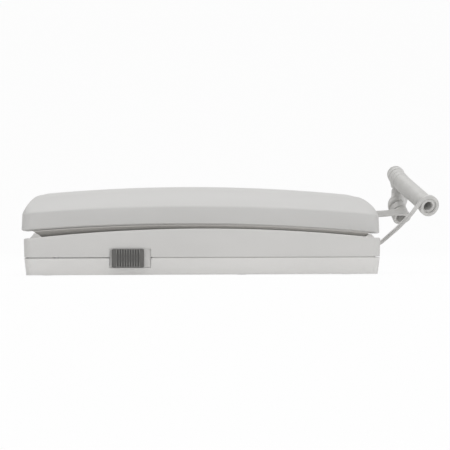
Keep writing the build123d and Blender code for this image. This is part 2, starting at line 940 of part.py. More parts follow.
def screw_seat_at(x):
    """Height of the head seat of a handset screw."""
    return inner_face_height - arch_drop(x) + handset_screw_sink


def boss_top_at(x):
    return inner_floor_height - arch_drop(x) + handset_boss_height


def build_handset_outer_shell():
    shell = handset_form(0, handset_low_height) - handset_form(handset_wall, handset_low_height - overrun)
    for x in handset_screw_places:
        bottom = boss_top_at(x) + inner_seat_gap
        top = handset_crown_height - arch_drop(x) - handset_wall / 2
        shell += drum(handset_post_radius, top - bottom, bottom, x)
        hole_top = screw_seat_at(x) + handset_screw_length + overrun / 2
        shell -= drum(handset_screw_radius + thread_gap, hole_top - bottom, bottom, x)
    shell -= block(
        8 * handset_wall, gland_width, gland_height, handset_length / 2, 0, handset_exit_before
    )
    return shell


def inner_form(side_inset, floor_inset):
    """The block of the inner shell that stands into the cradle, or the room in it."""
    side = handset_width / 2 - inner_side_inset - side_inset
    top = handset_crown_height
    face = inner_face_height + floor_inset
    foot = face + inner_chamfer
    near = side - inner_chamfer
    corners = [
        (0, -side, top), (0, -side, foot), (0, -near, face), (0, near, face), (0, side, foot), (0, side, top)
    ]
    form = arched(closed_outline(*corners))
    end = handset_length / 2 - inner_end_inset - side_inset
    low = face - arch_drop(end)
    slope = inner_step / inner_end_run
    deep = end - inner_end_run - overrun
    ends = [(-end, 0, top), (-end, 0, low + inner_step), (-deep, 0, low - overrun * slope)]
    ends += [(deep, 0, low - overrun * slope), (end, 0, low + inner_step), (end, 0, top)]
    return form & side_prism(closed_outline(*ends), 2 * handset_width)


def dome(x, length, width, drop, inset, top):
    """A drafted dome that stands out of the inner face, or the room in it."""
    low = (length - 2 * dome_draft - 2 * inset, width - 2 * dome_draft - 2 * inset)
    high = (length - 2 * inset, width - 2 * inset)
    bottom = inner_face_height - drop - arch_drop(x)
    return Pos(x, 0) * drafted_slab(low, high, dome_corner_radius - inset, bottom, top)


ear_dome = (ear_well_position, ear_dome_length, ear_dome_width, ear_dome_drop)
mouth_dome = (mouth_well_position, mouth_dome_length, mouth_dome_width, mouth_dome_drop)


def dome_floor(which):
    """Height of the inside of a dome's flat floor."""
    x, length, width, drop = which
    return inner_face_height - drop - arch_drop(x) + dome_wall


def sound_holes():
    """Places and radii of the holes over the earpiece and the microphone."""
    holes = [(ear_well_position, 0, ear_hole_radius)]
    for index in range(ear_hole_count):
        angle = 2 * pi * index / ear_hole_count
        x = ear_well_position + ear_hole_ring_radius * cos(angle)
        holes.append((x, ear_hole_ring_radius * sin(angle), ear_hole_radius))
    for index in range(mouth_hole_count):
        x = mouth_well_position + (index - (mouth_hole_count - 1) / 2) * mouth_hole_pitch
        holes.append((x, 0, mouth_hole_radius))
    return holes


handset_board_bottom = inner_floor_height + handset_board_lift
handset_board_posts = four_places(
    button_position,
    handset_board_length / 2 - handset_board_post_inset,
    handset_board_width / 2 - handset_board_post_inset,
)


def build_handset_inner_shell():
    rim = handset_form(handset_wall + fit_gap, inner_face_height)
    form = inner_form(0, 0)
    shell = form & band(inner_face_height - overrun, handset_low_height - inner_seat_gap)
    shell += form & rim & band(inner_floor_height, handset_low_height + inner_wall)
    shell += rim & band(handset_low_height, handset_low_height + inner_wall)
    for x, length, width, drop in (ear_dome, mouth_dome):
        shell += dome(x, length, width, drop, 0, inner_face_height - arch_drop(x) + inner_wall / 2)
    side_inset = handset_wall + fit_gap + inner_lip_wall - inner_side_inset
    shell -= inner_form(side_inset, inner_wall)
    for which in (ear_dome, mouth_dome):
        x, length, width, drop = which
        dome_top = inner_floor_height - arch_drop(x) + overrun
        shell -= dome(x, length, width, drop - dome_wall, dome_wall, dome_top)
    for x, y, radius in sound_holes():
        hole_depth = inner_step + 2 * dome_wall
        shell -= drum(radius, hole_depth, inner_face_height - hole_depth, x, y)

    # Seats of the two screws
    for x in handset_screw_places:
        bottom = inner_face_height - arch_drop(x) + inner_wall / 2
        shell += drum(handset_boss_radius, boss_top_at(x) - bottom, bottom, x)
        shell -= drum(handset_screw_head_radius + fit_gap, screw_seat_at(x), 0, x)
        shell -= drum(handset_screw_radius + fit_gap, handset_crown_height, 0, x)

    # Posts under the handset board, and the opening of the door button
    for x, y in handset_board_posts:
        bottom = inner_face_height - arch_drop(x) + inner_wall / 2
        shell += drum(handset_board_post_radius, handset_board_bottom - bottom, bottom, x, y)
    shell -= slab(
        button_length + 2 * fit_gap, button_width + 2 * fit_gap, inner_step + inner_wall,
        button_corner_radius + fit_gap, inner_face_height - inner_step, button_position
    )
    return shell


def build_earpiece_gasket():
    bottom = dome_floor(ear_dome)
    ring = drum(earpiece_radius, gasket_thickness, bottom, ear_well_position)
    return ring - drum(earpiece_radius - gasket_width, gasket_thickness, bottom, ear_well_position)


def build_earpiece_capsule():
    bottom = dome_floor(ear_dome) + gasket_thickness
    capsule = drum(earpiece_radius, earpiece_height, bottom, ear_well_position)
    capsule += drum(
        earpiece_magnet_radius, earpiece_magnet_height, bottom + earpiece_height, ear_well_position
    )
    return capsule


def build_microphone():
    bottom = dome_floor(mouth_dome) + boot_base
    return drum(microphone_radius, microphone_height, bottom, mouth_well_position)


def build_microphone_boot():
    bottom = dome_floor(mouth_dome)
    height = boot_base + microphone_height
    boot = drum(microphone_radius + boot_wall, height, bottom, mouth_well_position)
    boot -= drum(microphone_radius, height, bottom + boot_base, mouth_well_position)
    return boot - drum(microphone_radius / 2, height, bottom, mouth_well_position)


def build_handset_board():
    return slab(
        handset_board_length, handset_board_width, board_thickness, base_board_corner,
        handset_board_bottom, button_position
    )


button_flange_bottom = inner_floor_height + button_stop_gap
button_flange_top = button_flange_bottom + button_flange_height
door_switch_bottom = handset_board_bottom - door_switch_height
door_plunger_bottom = button_flange_top + button_travel + door_plunger_gap


def build_door_button():
    bottom = inner_face_height - button_proud
    button = slab(
        button_length, button_width, button_flange_top - bottom, button_corner_radius, bottom,
        button_position
    )
    face_edges = button.edges().group_by(Axis.Z)[0]
    button = fillet(face_edges, button_round)
    button += slab(
        button_length + 2 * button_flange, button_width + 2 * button_flange, button_flange_height,
        button_corner_radius + button_flange, button_flange_bottom, button_position
    )
    return button


def build_door_switch():
    switch = block(
        door_switch_side, door_switch_side, door_switch_height,
        button_position, 0, door_switch_bottom + door_switch_height / 2
    )
    return switch + drum(
        door_plunger_radius, door_switch_bottom - door_plunger_bottom, door_plunger_bottom, button_position
    )


def build_button_spring():
    room = handset_board_bottom - button_flange_top - spring_wire - 2 * fit_gap
    middle = (handset_board_bottom + button_flange_top) / 2
    return straight_coil(
        (button_position, 0, middle), (0.0, 0.0, 1.0), spring_radius, room / spring_turns, spring_turns,
        spring_wire / 2, 0
    )


def build_ballast_weight():
    bottom = inner_floor_height + ballast_gap
    plate = band(bottom, bottom + ballast_thickness)
    plate = plate & slab(
        ballast_length, ballast_width, handset_crown_height, base_board_corner, 0, ballast_position
    )
    return plate - drum(handset_boss_radius + 2 * fit_gap, handset_crown_height, 0, -handset_screw_along)


def build_handset_screws():
    one = screw(
        handset_screw_radius, handset_screw_length, handset_screw_head_radius, handset_screw_head_height
    )
    return gathered([Pos(x, 0, screw_seat_at(x)) * one for x in handset_screw_places])


# Cord
base_exit_way = np.array((cos(radians(base_exit_rise)), 0.0, sin(radians(base_exit_rise))))
base_exit = np.array((base_length / 2, base_exit_across, base_exit_height))
base_exit = base_exit + base_exit_reach * base_exit_way
handset_exit = handset_length / 2 + handset_exit_reach


def gland(wall_outer, wall, reach, y, z):
    """A rubber gland in an end wall: a flange inside, a body through the wall."""
    inside = wall_outer - wall - fit_gap
    start = inside - gland_flange_thickness
    body = block(
        wall_outer + reach - start, gland_width - 2 * fit_gap, gland_height - 2 * fit_gap,
        (wall_outer + reach + start) / 2, y, z
    )
    return body + block(
        gland_flange_thickness, gland_width + 2 * gland_flange, gland_height + 2 * gland_flange,
        inside - gland_flange_thickness / 2, y, z
    )


def build_base_cord_gland():
    wall_outer = base_length / 2 - front_draft
    body = gland(wall_outer, base_wall, front_draft, base_exit_across, base_exit_height)
    nose_length = 2 * base_exit_reach
    centre = base_exit - nose_length / 2 * base_exit_way
    nose_place = Plane(origin=tuple(centre), z_dir=tuple(base_exit_way))
    nose = nose_place * Cylinder(gland_nose_radius, nose_length)
    nose -= block(base_length, base_width, base_width, 0, 0, base_exit_height)
    return body + nose


def build_handset_cord_gland():
    wall_outer = handset_length / 2
    body = gland(wall_outer, handset_wall + handset_gland_recess, 0, 0, handset_exit_before)
    nose = Pos(wall_outer, 0, handset_exit_before) * Cylinder(
        gland_nose_radius, 2 * handset_exit_reach, rotation=(0, 90, 0)
    )
    return body + nose


def coil_middle_line(route, spans_each=120):
    """Even steps along a chain of parabolas that bends at each point between the ends."""
    corners = np.array(route)
    joints = (corners[1:] + corners[:-1]) / 2
    joints[0] = corners[0]
    joints[-1] = corners[-1]
    share = np.linspace(0, 1, spans_each, endpoint=False)[:, None]
    spans = []
    for start, corner, end in zip(joints[:-1], corners[1:-1], joints[1:]):
        spans.append((1 - share) ** 2 * start + 2 * share * (1 - share) * corner + share**2 * end)
    line = np.vstack(spans + [corners[-1:]])
    along = np.concatenate([[0], np.cumsum(np.linalg.norm(np.diff(line, axis=0), axis=1))])
    even = np.linspace(0, along[-1], len(line))
    return np.stack([np.interp(even, along, line[:, k]) for k in range(3)], axis=1), even[1]


def curly_line():
    """The cord's middle line round the coil, with its angle at every step."""
    middle, step = coil_middle_line(coil_route)
    ahead = np.gradient(middle, step, axis=0)
    ahead /= np.linalg.norm(ahead, axis=1)[:, None]

    # Turns lie a steady distance apart on the inside of each bend, so they fan out on its outside
    bend = np.linalg.norm(np.gradient(ahead, step, axis=0), axis=1)
    window = int(coil_bend_smoothing / step) | 1
    bend = np.convolve(np.pad(bend, window // 2, mode="edge"), np.ones(window) / window, mode="valid")
    rate = 1 - bend * (coil_radius + cord_tube / 2)
    turned = np.concatenate([[0], np.cumsum((rate[1:] + rate[:-1]) / 2)])
    angle = 2 * pi * coil_turns * turned / turned[-1]

    # A side that never spins about the middle line carries the angle
    side = np.array(coil_start_side)
    sides = np.zeros_like(middle)
    for index, way in enumerate(ahead):
        side = side - way * (side @ way)
        side = side / np.linalg.norm(side)
        sides[index] = side
    over = np.cross(ahead, sides)
    flare_angle = 2 * pi * coil_flare_turns
    start_flare = coil_start_flare * np.clip(1 - angle / flare_angle, 0, 1) ** coil_flare_power
    end_flare = coil_end_flare * np.clip(1 - (angle[-1] - angle) / flare_angle, 0, 1) ** coil_flare_power
    radius = (coil_radius + start_flare + end_flare)[:, None]
    line = middle + radius * (np.cos(angle)[:, None] * sides + np.sin(angle)[:, None] * over)
    return line, angle


def quarter_turns(line, angle):
    """Places and ways at every quarter turn."""
    count = round(4 * coil_turns)
    at = np.linspace(0, angle[-1], count + 1)
    slope = np.gradient(line, angle, axis=0)
    places = np.stack([np.interp(at, angle, line[:, k]) for k in range(3)], axis=1)
    ways = np.stack([np.interp(at, angle, slope[:, k]) for k in range(3)], axis=1)
    return places, ways / np.linalg.norm(ways, axis=1)[:, None]


def least_gap_to_itself(edges, tube):
    """Least distance between surfaces of stretches that are most of half a turn apart or more."""
    points = np.vstack([[tuple(edge.position_at(share)) for share in sample_shares] for edge in edges])
    along = np.concatenate([[0], np.cumsum(np.linalg.norm(np.diff(points, axis=0), axis=1))])
    apart = np.linalg.norm(points[:, None] - points[None], axis=2)
    far = np.abs(along[:, None] - along[None]) > apart_turn_share * 2 * pi * coil_radius
    return apart[far].min() - tube


def build_cord_coil(places, ways):
    start = places[0] - cord_tube * ways[0]
    end = places[-1] + cord_tube * ways[-1]
    turns = joined_arcs(places, ways)
    edges = [Line(tuple(start), tuple(places[0]))] + turns + [Line(tuple(places[-1]), tuple(end))]
    length = sum(edge.length for edge in edges)
    gap = least_gap_to_itself(turns, cord_tube)
    tightest = min(edge.radius for edge in turns)
    print("coil: length", round(length, 1))
    print("coil: least gap", round(float(gap), 2), "least radius", round(tightest, 2))
    if gap < coil_least_gap:
        print("coil: the turns are too close")
    coil = wire_along(edges, cord_tube / 2)
    section = pi * cord_tube**2 / 4
    print("coil: volume over section times length", round(coil.volume / (length * section), 4))
    return coil


def lead(route):
    """A stretch of cord: straight runs joined by arcs as large as the runs allow."""
    places = [np.array(place) for place in route]
    radii = []
    for before, corner, after in zip(places[:-2], places[1:-1], places[2:]):
        into = corner - before
        out = after - corner
        lengths = (np.linalg.norm(into), np.linalg.norm(out))
        turn = Vector(*into).get_angle(Vector(*out))
        radii.append(float(lead_arc_share * min(lengths) / tan(radians(turn) / 2)))
    print("lead: radii", [round(radius, 1) for radius in radii])
    path = FilletPolyline(*[tuple(place) for place in places], radius=radii)
    edges = path.edges()
    tube = wire_along(edges, cord_tube / 2)
    length = sum(edge.length for edge in edges)
    section = pi * cord_tube**2 / 4
    print("lead: volume over section times length", round(tube.volume / (length * section), 4))
    return tube


line, angle = curly_line()
coil_places, coil_ways = quarter_turns(line, angle)
coil_start = coil_places[0] - cord_tube * coil_ways[0]
coil_end = coil_places[-1] + cord_tube * coil_ways[-1]


def build_base_cord_lead():
    route = [base_exit, base_exit + base_exit_run * base_exit_way]
    route += base_lead_route
    route += [coil_start - lead_end_run * coil_ways[0], coil_start]
    return lead(route)


def build_handset_cord_lead():
    start = np.array((handset_exit + handset_exit_gap, 0.0, handset_exit_height))
    route = [start, start + np.array((handset_exit_run, 0.0, 0.0))]
    route += [coil_end + lead_end_run * coil_ways[-1], coil_end]
    return lead(route)


save("front_cover", build_front_cover())
save("rear_cover", build_rear_cover())
save("cover_screws", build_cover_screws())
save("base_board", build_base_board())
save("board_screws", build_board_screws())
save("board_components", build_board_components())
save("terminal_block", build_terminal_block())
save("terminal_screws", build_terminal_screws())
save("call_speaker", build_call_speaker())
save("slide_switch", build_slide_switch())
save("slide_knob", build_slide_knob())
save("hook_lever", build_hook_lever())
save("hook_pin", build_hook_pin())
save("hook_springs", build_hook_springs())
save("hook_switch", build_hook_switch())
save("base_cord_gland", build_base_cord_gland())
save("handset_outer_shell", seated(build_handset_outer_shell()))
save("handset_inner_shell", seated(build_handset_inner_shell()))
save("earpiece_gasket", seated(build_earpiece_gasket()))
save("earpiece_capsule", seated(build_earpiece_capsule()))
save("microphone", seated(build_microphone()))
save("microphone_boot", seated(build_microphone_boot()))
save("handset_board", seated(build_handset_board()))
save("door_switch", seated(build_door_switch()))
save("door_button", seated(build_door_button()))
save("button_spring", seated(build_button_spring()))
save("ballast_weight", seated(build_ballast_weight()))
save("handset_screws", seated(build_handset_screws()))
save("handset_cord_gland", seated(build_handset_cord_gland()))
save("base_cord_lead", build_base_cord_lead())
save("cord_coil", build_cord_coil(coil_places, coil_ways))
save("handset_cord_lead", build_handset_cord_lead())
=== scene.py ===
import json
from math import atan2, cos, pi, radians, sin, tan

import bmesh
import bpy
import numpy as np
from mathutils import Matrix


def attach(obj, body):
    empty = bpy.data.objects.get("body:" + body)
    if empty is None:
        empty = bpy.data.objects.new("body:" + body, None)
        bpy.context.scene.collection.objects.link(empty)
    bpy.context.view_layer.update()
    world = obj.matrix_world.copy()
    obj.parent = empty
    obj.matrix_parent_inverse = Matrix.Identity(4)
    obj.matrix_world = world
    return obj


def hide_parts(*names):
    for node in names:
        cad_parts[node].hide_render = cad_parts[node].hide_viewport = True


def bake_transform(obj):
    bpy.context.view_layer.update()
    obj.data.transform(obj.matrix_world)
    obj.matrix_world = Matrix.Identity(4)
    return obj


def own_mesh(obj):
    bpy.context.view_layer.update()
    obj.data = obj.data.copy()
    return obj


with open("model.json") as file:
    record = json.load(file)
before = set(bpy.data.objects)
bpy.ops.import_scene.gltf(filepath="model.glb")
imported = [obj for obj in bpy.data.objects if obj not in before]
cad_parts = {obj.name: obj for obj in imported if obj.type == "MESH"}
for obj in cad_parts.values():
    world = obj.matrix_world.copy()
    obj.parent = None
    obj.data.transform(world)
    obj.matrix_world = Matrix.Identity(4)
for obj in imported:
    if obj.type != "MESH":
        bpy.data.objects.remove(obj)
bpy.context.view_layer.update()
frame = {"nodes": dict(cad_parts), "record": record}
nodes = frame["nodes"]
mm = 0.001
print("frame: loaded", len(nodes), "CAD nodes")

# Camera at the height of the near long side, a little to the left and turned to the right
cameraSetting = {
    "place": (-0.0751, -0.9959, 0.0229),
    "turn": 5.2,  # degrees to the right of straight across
    "roll": 0.126,  # degrees
    "focal": 134.43,
    "rise": 0.0222,  # shift of the frame, as a share of its width
    "farthest": 20.0,
}


def makeCamera():
    data = bpy.data.cameras.new("camera")
    data.lens = cameraSetting["focal"]
    data.shift_y = cameraSetting["rise"]
    data.clip_end = cameraSetting["farthest"]
    view = bpy.data.objects.new("camera", data)
    bpy.context.scene.collection.objects.link(view)
    turn = radians(cameraSetting["turn"])
    roll = radians(cameraSetting["roll"])
    ahead = np.array([sin(turn), cos(turn), 0.0])
    level = np.array([cos(turn), -sin(turn), 0.0])
    upright = np.array([0.0, 0.0, 1.0])
    place = np.eye(4)
    place[:3, 0] = cos(roll) * level - sin(roll) * upright
    place[:3, 1] = sin(roll) * level + cos(roll) * upright
    place[:3, 2] = -ahead
    place[:3, 3] = cameraSetting["place"]
    view.matrix_world = Matrix(place.tolist())
    bpy.context.scene.camera = view


makeCamera()
print("camera: placed")


# Mesh helpers

def unit(rows):
    return rows / np.linalg.norm(rows, axis=-1, keepdims=True)


def rowDot(a, b):
    return np.sum(a * b, axis=-1, keepdims=True)


def gridFaces(rows, columns, first=0):
    # Four-sided faces between the rows of a grid whose columns close into a ring
    row = np.arange(rows - 1)[:, None] * columns
    here = np.arange(columns)[None, :]
    after = (here + 1) % columns
    quads = np.stack([row + here, row + after, row + columns + after, row + columns + here], axis=-1)
    return quads.reshape(-1, 4) + first


def fanFaces(ring, centre, turned):
    # Triangles from a ring of points to one point
    after = np.roll(ring, -1)
    middle = np.full(len(ring), centre)
    order = [after, ring, middle] if turned else [ring, after, middle]
    return np.stack(order, axis=-1)


def closedBar(rings, middles):
    # Points and faces of a bar through rings of points, with a fan from each end ring to its middle
    count = rings.shape[1]
    ring = np.arange(count)
    points = np.vstack([rings.reshape(-1, 3), middles])
    ends = np.vstack([
        fanFaces(ring, len(points) - 2, True),
        fanFaces(ring + (len(rings) - 1) * count, len(points) - 1, False),
    ])
    return points, gridFaces(len(rings), count), ends


def makeMesh(name, points, quads, triangles=None):
    # A mesh object at the origin from arrays of points and faces
    mesh = bpy.data.meshes.new(name)
    triangles = np.zeros((0, 3), int) if triangles is None else triangles
    corners = np.concatenate([quads.ravel(), triangles.ravel()])
    counts = np.concatenate([np.full(len(quads), 4), np.full(len(triangles), 3)])
    mesh.vertices.add(len(points))
    mesh.vertices.foreach_set("co", np.asarray(points, float).ravel())
    mesh.loops.add(len(corners))
    mesh.loops.foreach_set("vertex_index", corners.astype(np.int32))
    mesh.polygons.add(len(counts))
    starts = np.concatenate([[0], np.cumsum(counts)[:-1]])
    mesh.polygons.foreach_set("loop_start", starts.astype(np.int32))
    mesh.update(calc_edges=True)
    mesh.validate()
    mesh.shade_smooth()
    piece = bpy.data.objects.new(name, mesh)
    bpy.context.scene.collection.objects.link(piece)
    return piece


sameWithin = 0.002 * mm  # points nearer than this are joined


def joinDoubles(piece):
    # Closes seams where a surface's edges meet, and turns every face outwards
    work = bmesh.new()
    work.from_mesh(piece.data)
    bmesh.ops.remove_doubles(work, verts=work.verts, dist=sameWithin)
    bmesh.ops.recalc_face_normals(work, faces=work.faces)
    work.to_mesh(piece.data)
    work.free()
    piece.data.shade_smooth()


def sharpenCreases(piece, angle):
    # Smooth shading apart from creases over the angle
    piece.data.set_sharp_from_angle(angle=radians(angle))


# Finishes. Each is made of noise on Object coordinates, so the grain keeps its real size; the cord has
# lines along its own map as well, and the boards have tracks. Grain, pitch, depths and sizes are in
# millimetres, tone is how far the colour wanders either way, and drawn is the noise's scale upwards,
# where less than 1 draws its scratches out.
finishSetting = {
    "handset": {"colour": (0.640, 0.634, 0.622), "grain": 0.30, "depth": 0.010, "rough": (0.42, 0.54)},
    "cover": {"colour": (0.668, 0.660, 0.645), "grain": 0.34, "depth": 0.012, "rough": (0.44, 0.56)},
    # The inner shell's colour is written darker than the outer shell's: painted shade for the shadow in the
    # gap under the handset
    "inner": {"colour": (0.525, 0.510, 0.488), "grain": 0.30, "depth": 0.010, "rough": (0.42, 0.54)},
    # The rear cover's colour is written lighter than the front cover's: painted light for the bounce from
    # the floor
    "rear": {"colour": (0.768, 0.759, 0.742), "grain": 0.34, "depth": 0.012, "rough": (0.44, 0.56)},
    "button": {"colour": (0.43, 0.435, 0.44), "grain": 0.25, "depth": 0.006, "rough": (0.34, 0.46)},
    "knob": {
        "colour": (0.120, 0.118, 0.112), "grain": 0.22, "depth": 0.008, "rough": (0.42, 0.58), "tone": 0.08,
    },
    "lever": {
        "colour": (0.80, 0.79, 0.75), "grain": 0.5, "depth": 0.004, "rough": (0.28, 0.38), "tone": 0.03,
    },
    "black": {
        "colour": (0.035, 0.035, 0.038), "grain": 0.2, "depth": 0.006, "rough": (0.38, 0.55), "tone": 0.15,
    },
    "grey": {
        "colour": (0.16, 0.17, 0.18), "grain": 0.3, "depth": 0.008, "rough": (0.40, 0.52), "tone": 0.08,
    },
    "speaker": {
        "colour": (0.028, 0.028, 0.030), "grain": 0.4, "depth": 0.004, "rough": (0.18, 0.30), "tone": 0.12,
    },
    "sheath": {"colour": (0.612, 0.605, 0.588), "grain": 0.9, "depth": 0.012, "rough": (0.34, 0.46)},
    "gland": {"colour": (0.56, 0.555, 0.54), "grain": 0.25, "depth": 0.012, "rough": (0.62, 0.74)},
    "rubber": {"colour": (0.030, 0.030, 0.030), "grain": 0.25, "depth": 0.014, "rough": (0.70, 0.85)},
    "steel": {
        "colour": (0.62, 0.63, 0.66), "grain": 0.35, "depth": 0.004, "rough": (0.26, 0.44), "drawn": 0.3,
    },
    "can": {
        "colour": (0.68, 0.68, 0.69), "grain": 0.25, "depth": 0.003, "rough": (0.24, 0.36), "drawn": 0.08,
    },
    "laminate": {
        "colour": (0.020, 0.115, 0.045), "track": (0.045, 0.20, 0.075), "pitch": 2.5, "rough": (0.22, 0.34),
    },
}


def newMaterial(name):
    material = bpy.data.materials.new(name)
    material.use_nodes = True
    tree = material.node_tree
    tree.nodes.clear()
    out = tree.nodes.new("ShaderNodeOutputMaterial")
    shader = tree.nodes.new("ShaderNodeBsdfPrincipled")
    tree.links.new(shader.outputs["BSDF"], out.inputs["Surface"])
    return material, tree, shader


def placed(tree, scale=(1.0, 1.0, 1.0)):
    # Object coordinates, stretched where a grain runs one way
    coordinate = tree.nodes.new("ShaderNodeTexCoord")
    mapping = tree.nodes.new("ShaderNodeMapping")
    mapping.inputs["Scale"].default_value = scale
    tree.links.new(coordinate.outputs["Object"], mapping.inputs["Vector"])
    return mapping.outputs["Vector"]


def noise(tree, place, size, detail=2.0, roughness=0.5):
    # Noise whose cells are the size given in millimetres
    texture = tree.nodes.new("ShaderNodeTexNoise")
    texture.inputs["Scale"].default_value = 1.0 / (size * mm)
    texture.inputs["Detail"].default_value = detail
    texture.inputs["Roughness"].default_value = roughness
    tree.links.new(place, texture.inputs["Vector"])
    return texture.outputs["Fac"]


def ranged(tree, value, low, high, fromLow=0.3, fromHigh=0.7):
    # A value stretched to a new range, by default from the one that most noise lies in
    node = tree.nodes.new("ShaderNodeMapRange")
    node.inputs["From Min"].default_value = fromLow
    node.inputs["From Max"].default_value = fromHigh
    node.inputs["To Min"].default_value = low
    node.inputs["To Max"].default_value = high
    tree.links.new(value, node.inputs["Value"])
    return node.outputs["Result"]


def mixed(tree, share, first, second):
    # A colour between two, each a triple or the output of another node
    node = tree.nodes.new("ShaderNodeMix")
    node.data_type = "RGBA"
    tree.links.new(share, node.inputs["Factor"])
    for socket, value in ((node.inputs[6], first), (node.inputs[7], second)):
        if isinstance(value, tuple):
            socket.default_value = value + (1.0,)
        else:
            tree.links.new(value, socket)
    return node.outputs[2]


def shaded(colour, share):
    return tuple(min(1.0, channel * share) for channel in colour)


def bumped(tree, height, depth, under=None):
    # A bump whose highest point stands the depth in millimetres over its lowest
    node = tree.nodes.new("ShaderNodeBump")
    node.inputs["Strength"].default_value = 1.0
    node.inputs["Distance"].default_value = depth * mm
    tree.links.new(height, node.inputs["Height"])
    if under is not None:
        tree.links.new(under, node.inputs["Normal"])
    return node.outputs["Normal"]


plasticSetting = {
    "tone": 0.035,  # for the finishes without a tone of their own
    "grainDetail": 3.0,
    "grainRoughness": 0.6,
    "flowSize": 28.0,
    "flowStretch": (0.35, 1.0, 1.0),
    "waveSize": 9.0,
    "waveDetail": 1.0,
    "waveDepth": 0.010,
    "pitShare": 0.25,
    "pitRange": (0.28, 0.46),
    "pitShade": 0.86,
    "refraction": 1.49,
    "specular": 0.5,
}


def mouldedPlastic(name, setting):
    # Spark-eroded grain, faint flow marks in the colour and a gloss that wanders a little
    shared = plasticSetting
    material, tree, shader = newMaterial(name)
    place = placed(tree)
    grain = noise(tree, place, setting["grain"], shared["grainDetail"], shared["grainRoughness"])
    flow = noise(tree, placed(tree, shared["flowStretch"]), shared["flowSize"])
    wave = noise(tree, place, shared["waveSize"], shared["waveDetail"])
    colour = setting["colour"]
    tone = setting.get("tone", shared["tone"])
    pale = mixed(tree, ranged(tree, flow, 0.0, 1.0), shaded(colour, 1 - tone), shaded(colour, 1 + tone))
    pits = ranged(tree, grain, shared["pitShare"], 0.0, *shared["pitRange"])
    tree.links.new(mixed(tree, pits, pale, shaded(colour, shared["pitShade"])), shader.inputs["Base Color"])
    tree.links.new(ranged(tree, flow, *setting["rough"]), shader.inputs["Roughness"])
    soft = bumped(tree, wave, shared["waveDepth"])
    tree.links.new(bumped(tree, grain, setting["depth"], soft), shader.inputs["Normal"])
    shader.inputs["IOR"].default_value = shared["refraction"]
    shader.inputs["Specular IOR Level"].default_value = shared["specular"]
    return material


rubberSetting = {
    "grainDetail": 4.0,
    "grainRoughness": 0.65,
    "bloomSize": 3.5,
    "bloomDetail": 3.0,
    "dustShade": 0.9,
    "dustLift": 0.02,
    "sheen": 0.08,
}


def rubberFinish(name, setting):
    # Matt rubber: a dusty bloom over a fine grain
    shared = rubberSetting
    material, tree, shader = newMaterial(name)
    place = placed(tree)
    grain = noise(tree, place, setting["grain"], shared["grainDetail"], shared["grainRoughness"])
    bloom = noise(tree, place, shared["bloomSize"], shared["bloomDetail"])
    colour = setting["colour"]
    dusty = tuple(channel * shared["dustShade"] + shared["dustLift"] for channel in colour)
    tree.links.new(mixed(tree, ranged(tree, bloom, 0.0, 1.0), colour, dusty), shader.inputs["Base Color"])
    tree.links.new(ranged(tree, bloom, *setting["rough"]), shader.inputs["Roughness"])
    tree.links.new(bumped(tree, grain, setting["depth"]), shader.inputs["Normal"])
    shader.inputs["Sheen Weight"].default_value = shared["sheen"]
    return material


sheathSetting = {
    "linesRound": 22.0,  # how much finer the lines are round the cord than along it
    "linesScale": 2.0,
    "linesDetail": 3.0,
    "marksSize": 5.0,
    "marksDetail": 3.0,
    "markShades": (0.95, 1.04),
    "waveDepth": 0.008,
    "refraction": 1.5,
}


def cordFinish(name, setting):
    # Soft sheath: fine lines drawn along the cord by the die, faint waves and slight handling marks
    shared = sheathSetting
    material, tree, shader = newMaterial(name)
    place = placed(tree)
    coordinate = tree.nodes.new("ShaderNodeUVMap")
    coordinate.uv_map = "alongCord"
    stretch = tree.nodes.new("ShaderNodeMapping")
    stretch.inputs["Scale"].default_value = (1.0, shared["linesRound"], 1.0)
    tree.links.new(coordinate.outputs["UV"], stretch.inputs["Vector"])
    lines = tree.nodes.new("ShaderNodeTexNoise")
    lines.inputs["Scale"].default_value = shared["linesScale"]
    lines.inputs["Detail"].default_value = shared["linesDetail"]
    tree.links.new(stretch.outputs["Vector"], lines.inputs["Vector"])
    marks = noise(tree, place, shared["marksSize"], shared["marksDetail"])
    dark, light = (shaded(setting["colour"], share) for share in shared["markShades"])
    tree.links.new(mixed(tree, ranged(tree, marks, 0.0, 1.0), dark, light), shader.inputs["Base Color"])
    tree.links.new(ranged(tree, marks, *setting["rough"]), shader.inputs["Roughness"])
    soft = bumped(tree, noise(tree, place, setting["grain"]), shared["waveDepth"])
    tree.links.new(bumped(tree, lines.outputs["Fac"], setting["depth"], soft), shader.inputs["Normal"])
    shader.inputs["IOR"].default_value = shared["refraction"]
    return material


metalSetting = {
    "patchSize": 1.8,
    "patchDetail": 3.0,
    "patchRoughness": 0.6,
    "patchShades": (0.86, 1.06),
    "scratchDetail": 4.0,
    "scratchRoughness": 0.7,
}


def metalFinish(name, setting):
    # Plated or drawn metal: patches of duller and brighter plate, with scratches drawn out upwards
    shared = metalSetting
    material, tree, shader = newMaterial(name)
    patches = noise(tree, placed(tree), shared["patchSize"], shared["patchDetail"], shared["patchRoughness"])
    drawn = placed(tree, (1.0, 1.0, setting["drawn"]))
    scratches = noise(tree, drawn, setting["grain"], shared["scratchDetail"], shared["scratchRoughness"])
    dull, bright = (shaded(setting["colour"], share) for share in shared["patchShades"])
    tree.links.new(mixed(tree, ranged(tree, patches, 0.0, 1.0), dull, bright), shader.inputs["Base Color"])
    tree.links.new(ranged(tree, scratches, *setting["rough"]), shader.inputs["Roughness"])
    tree.links.new(bumped(tree, scratches, setting["depth"]), shader.inputs["Normal"])
    shader.inputs["Metallic"].default_value = 1.0
    return material


boardSetting = {
    "trackOffset": 0.5,  # shift of every other row, as a share of a track
    "trackShade": 0.85,
    "trackGap": 0.09,  # gap, width and row are in pitches
    "trackWidth": 3.6,
    "trackRow": 0.7,
    "trackDepth": -0.02,  # below 0 because the pattern is highest in the gaps
    "patchSize": 7.0,
    "patchDetail": 1.0,
    "patchRange": (0.48, 0.52),
    "weaveSize": 0.6,
    "weaveDepth": 0.004,
    "coat": 0.3,
    "coatRoughness": 0.15,
}


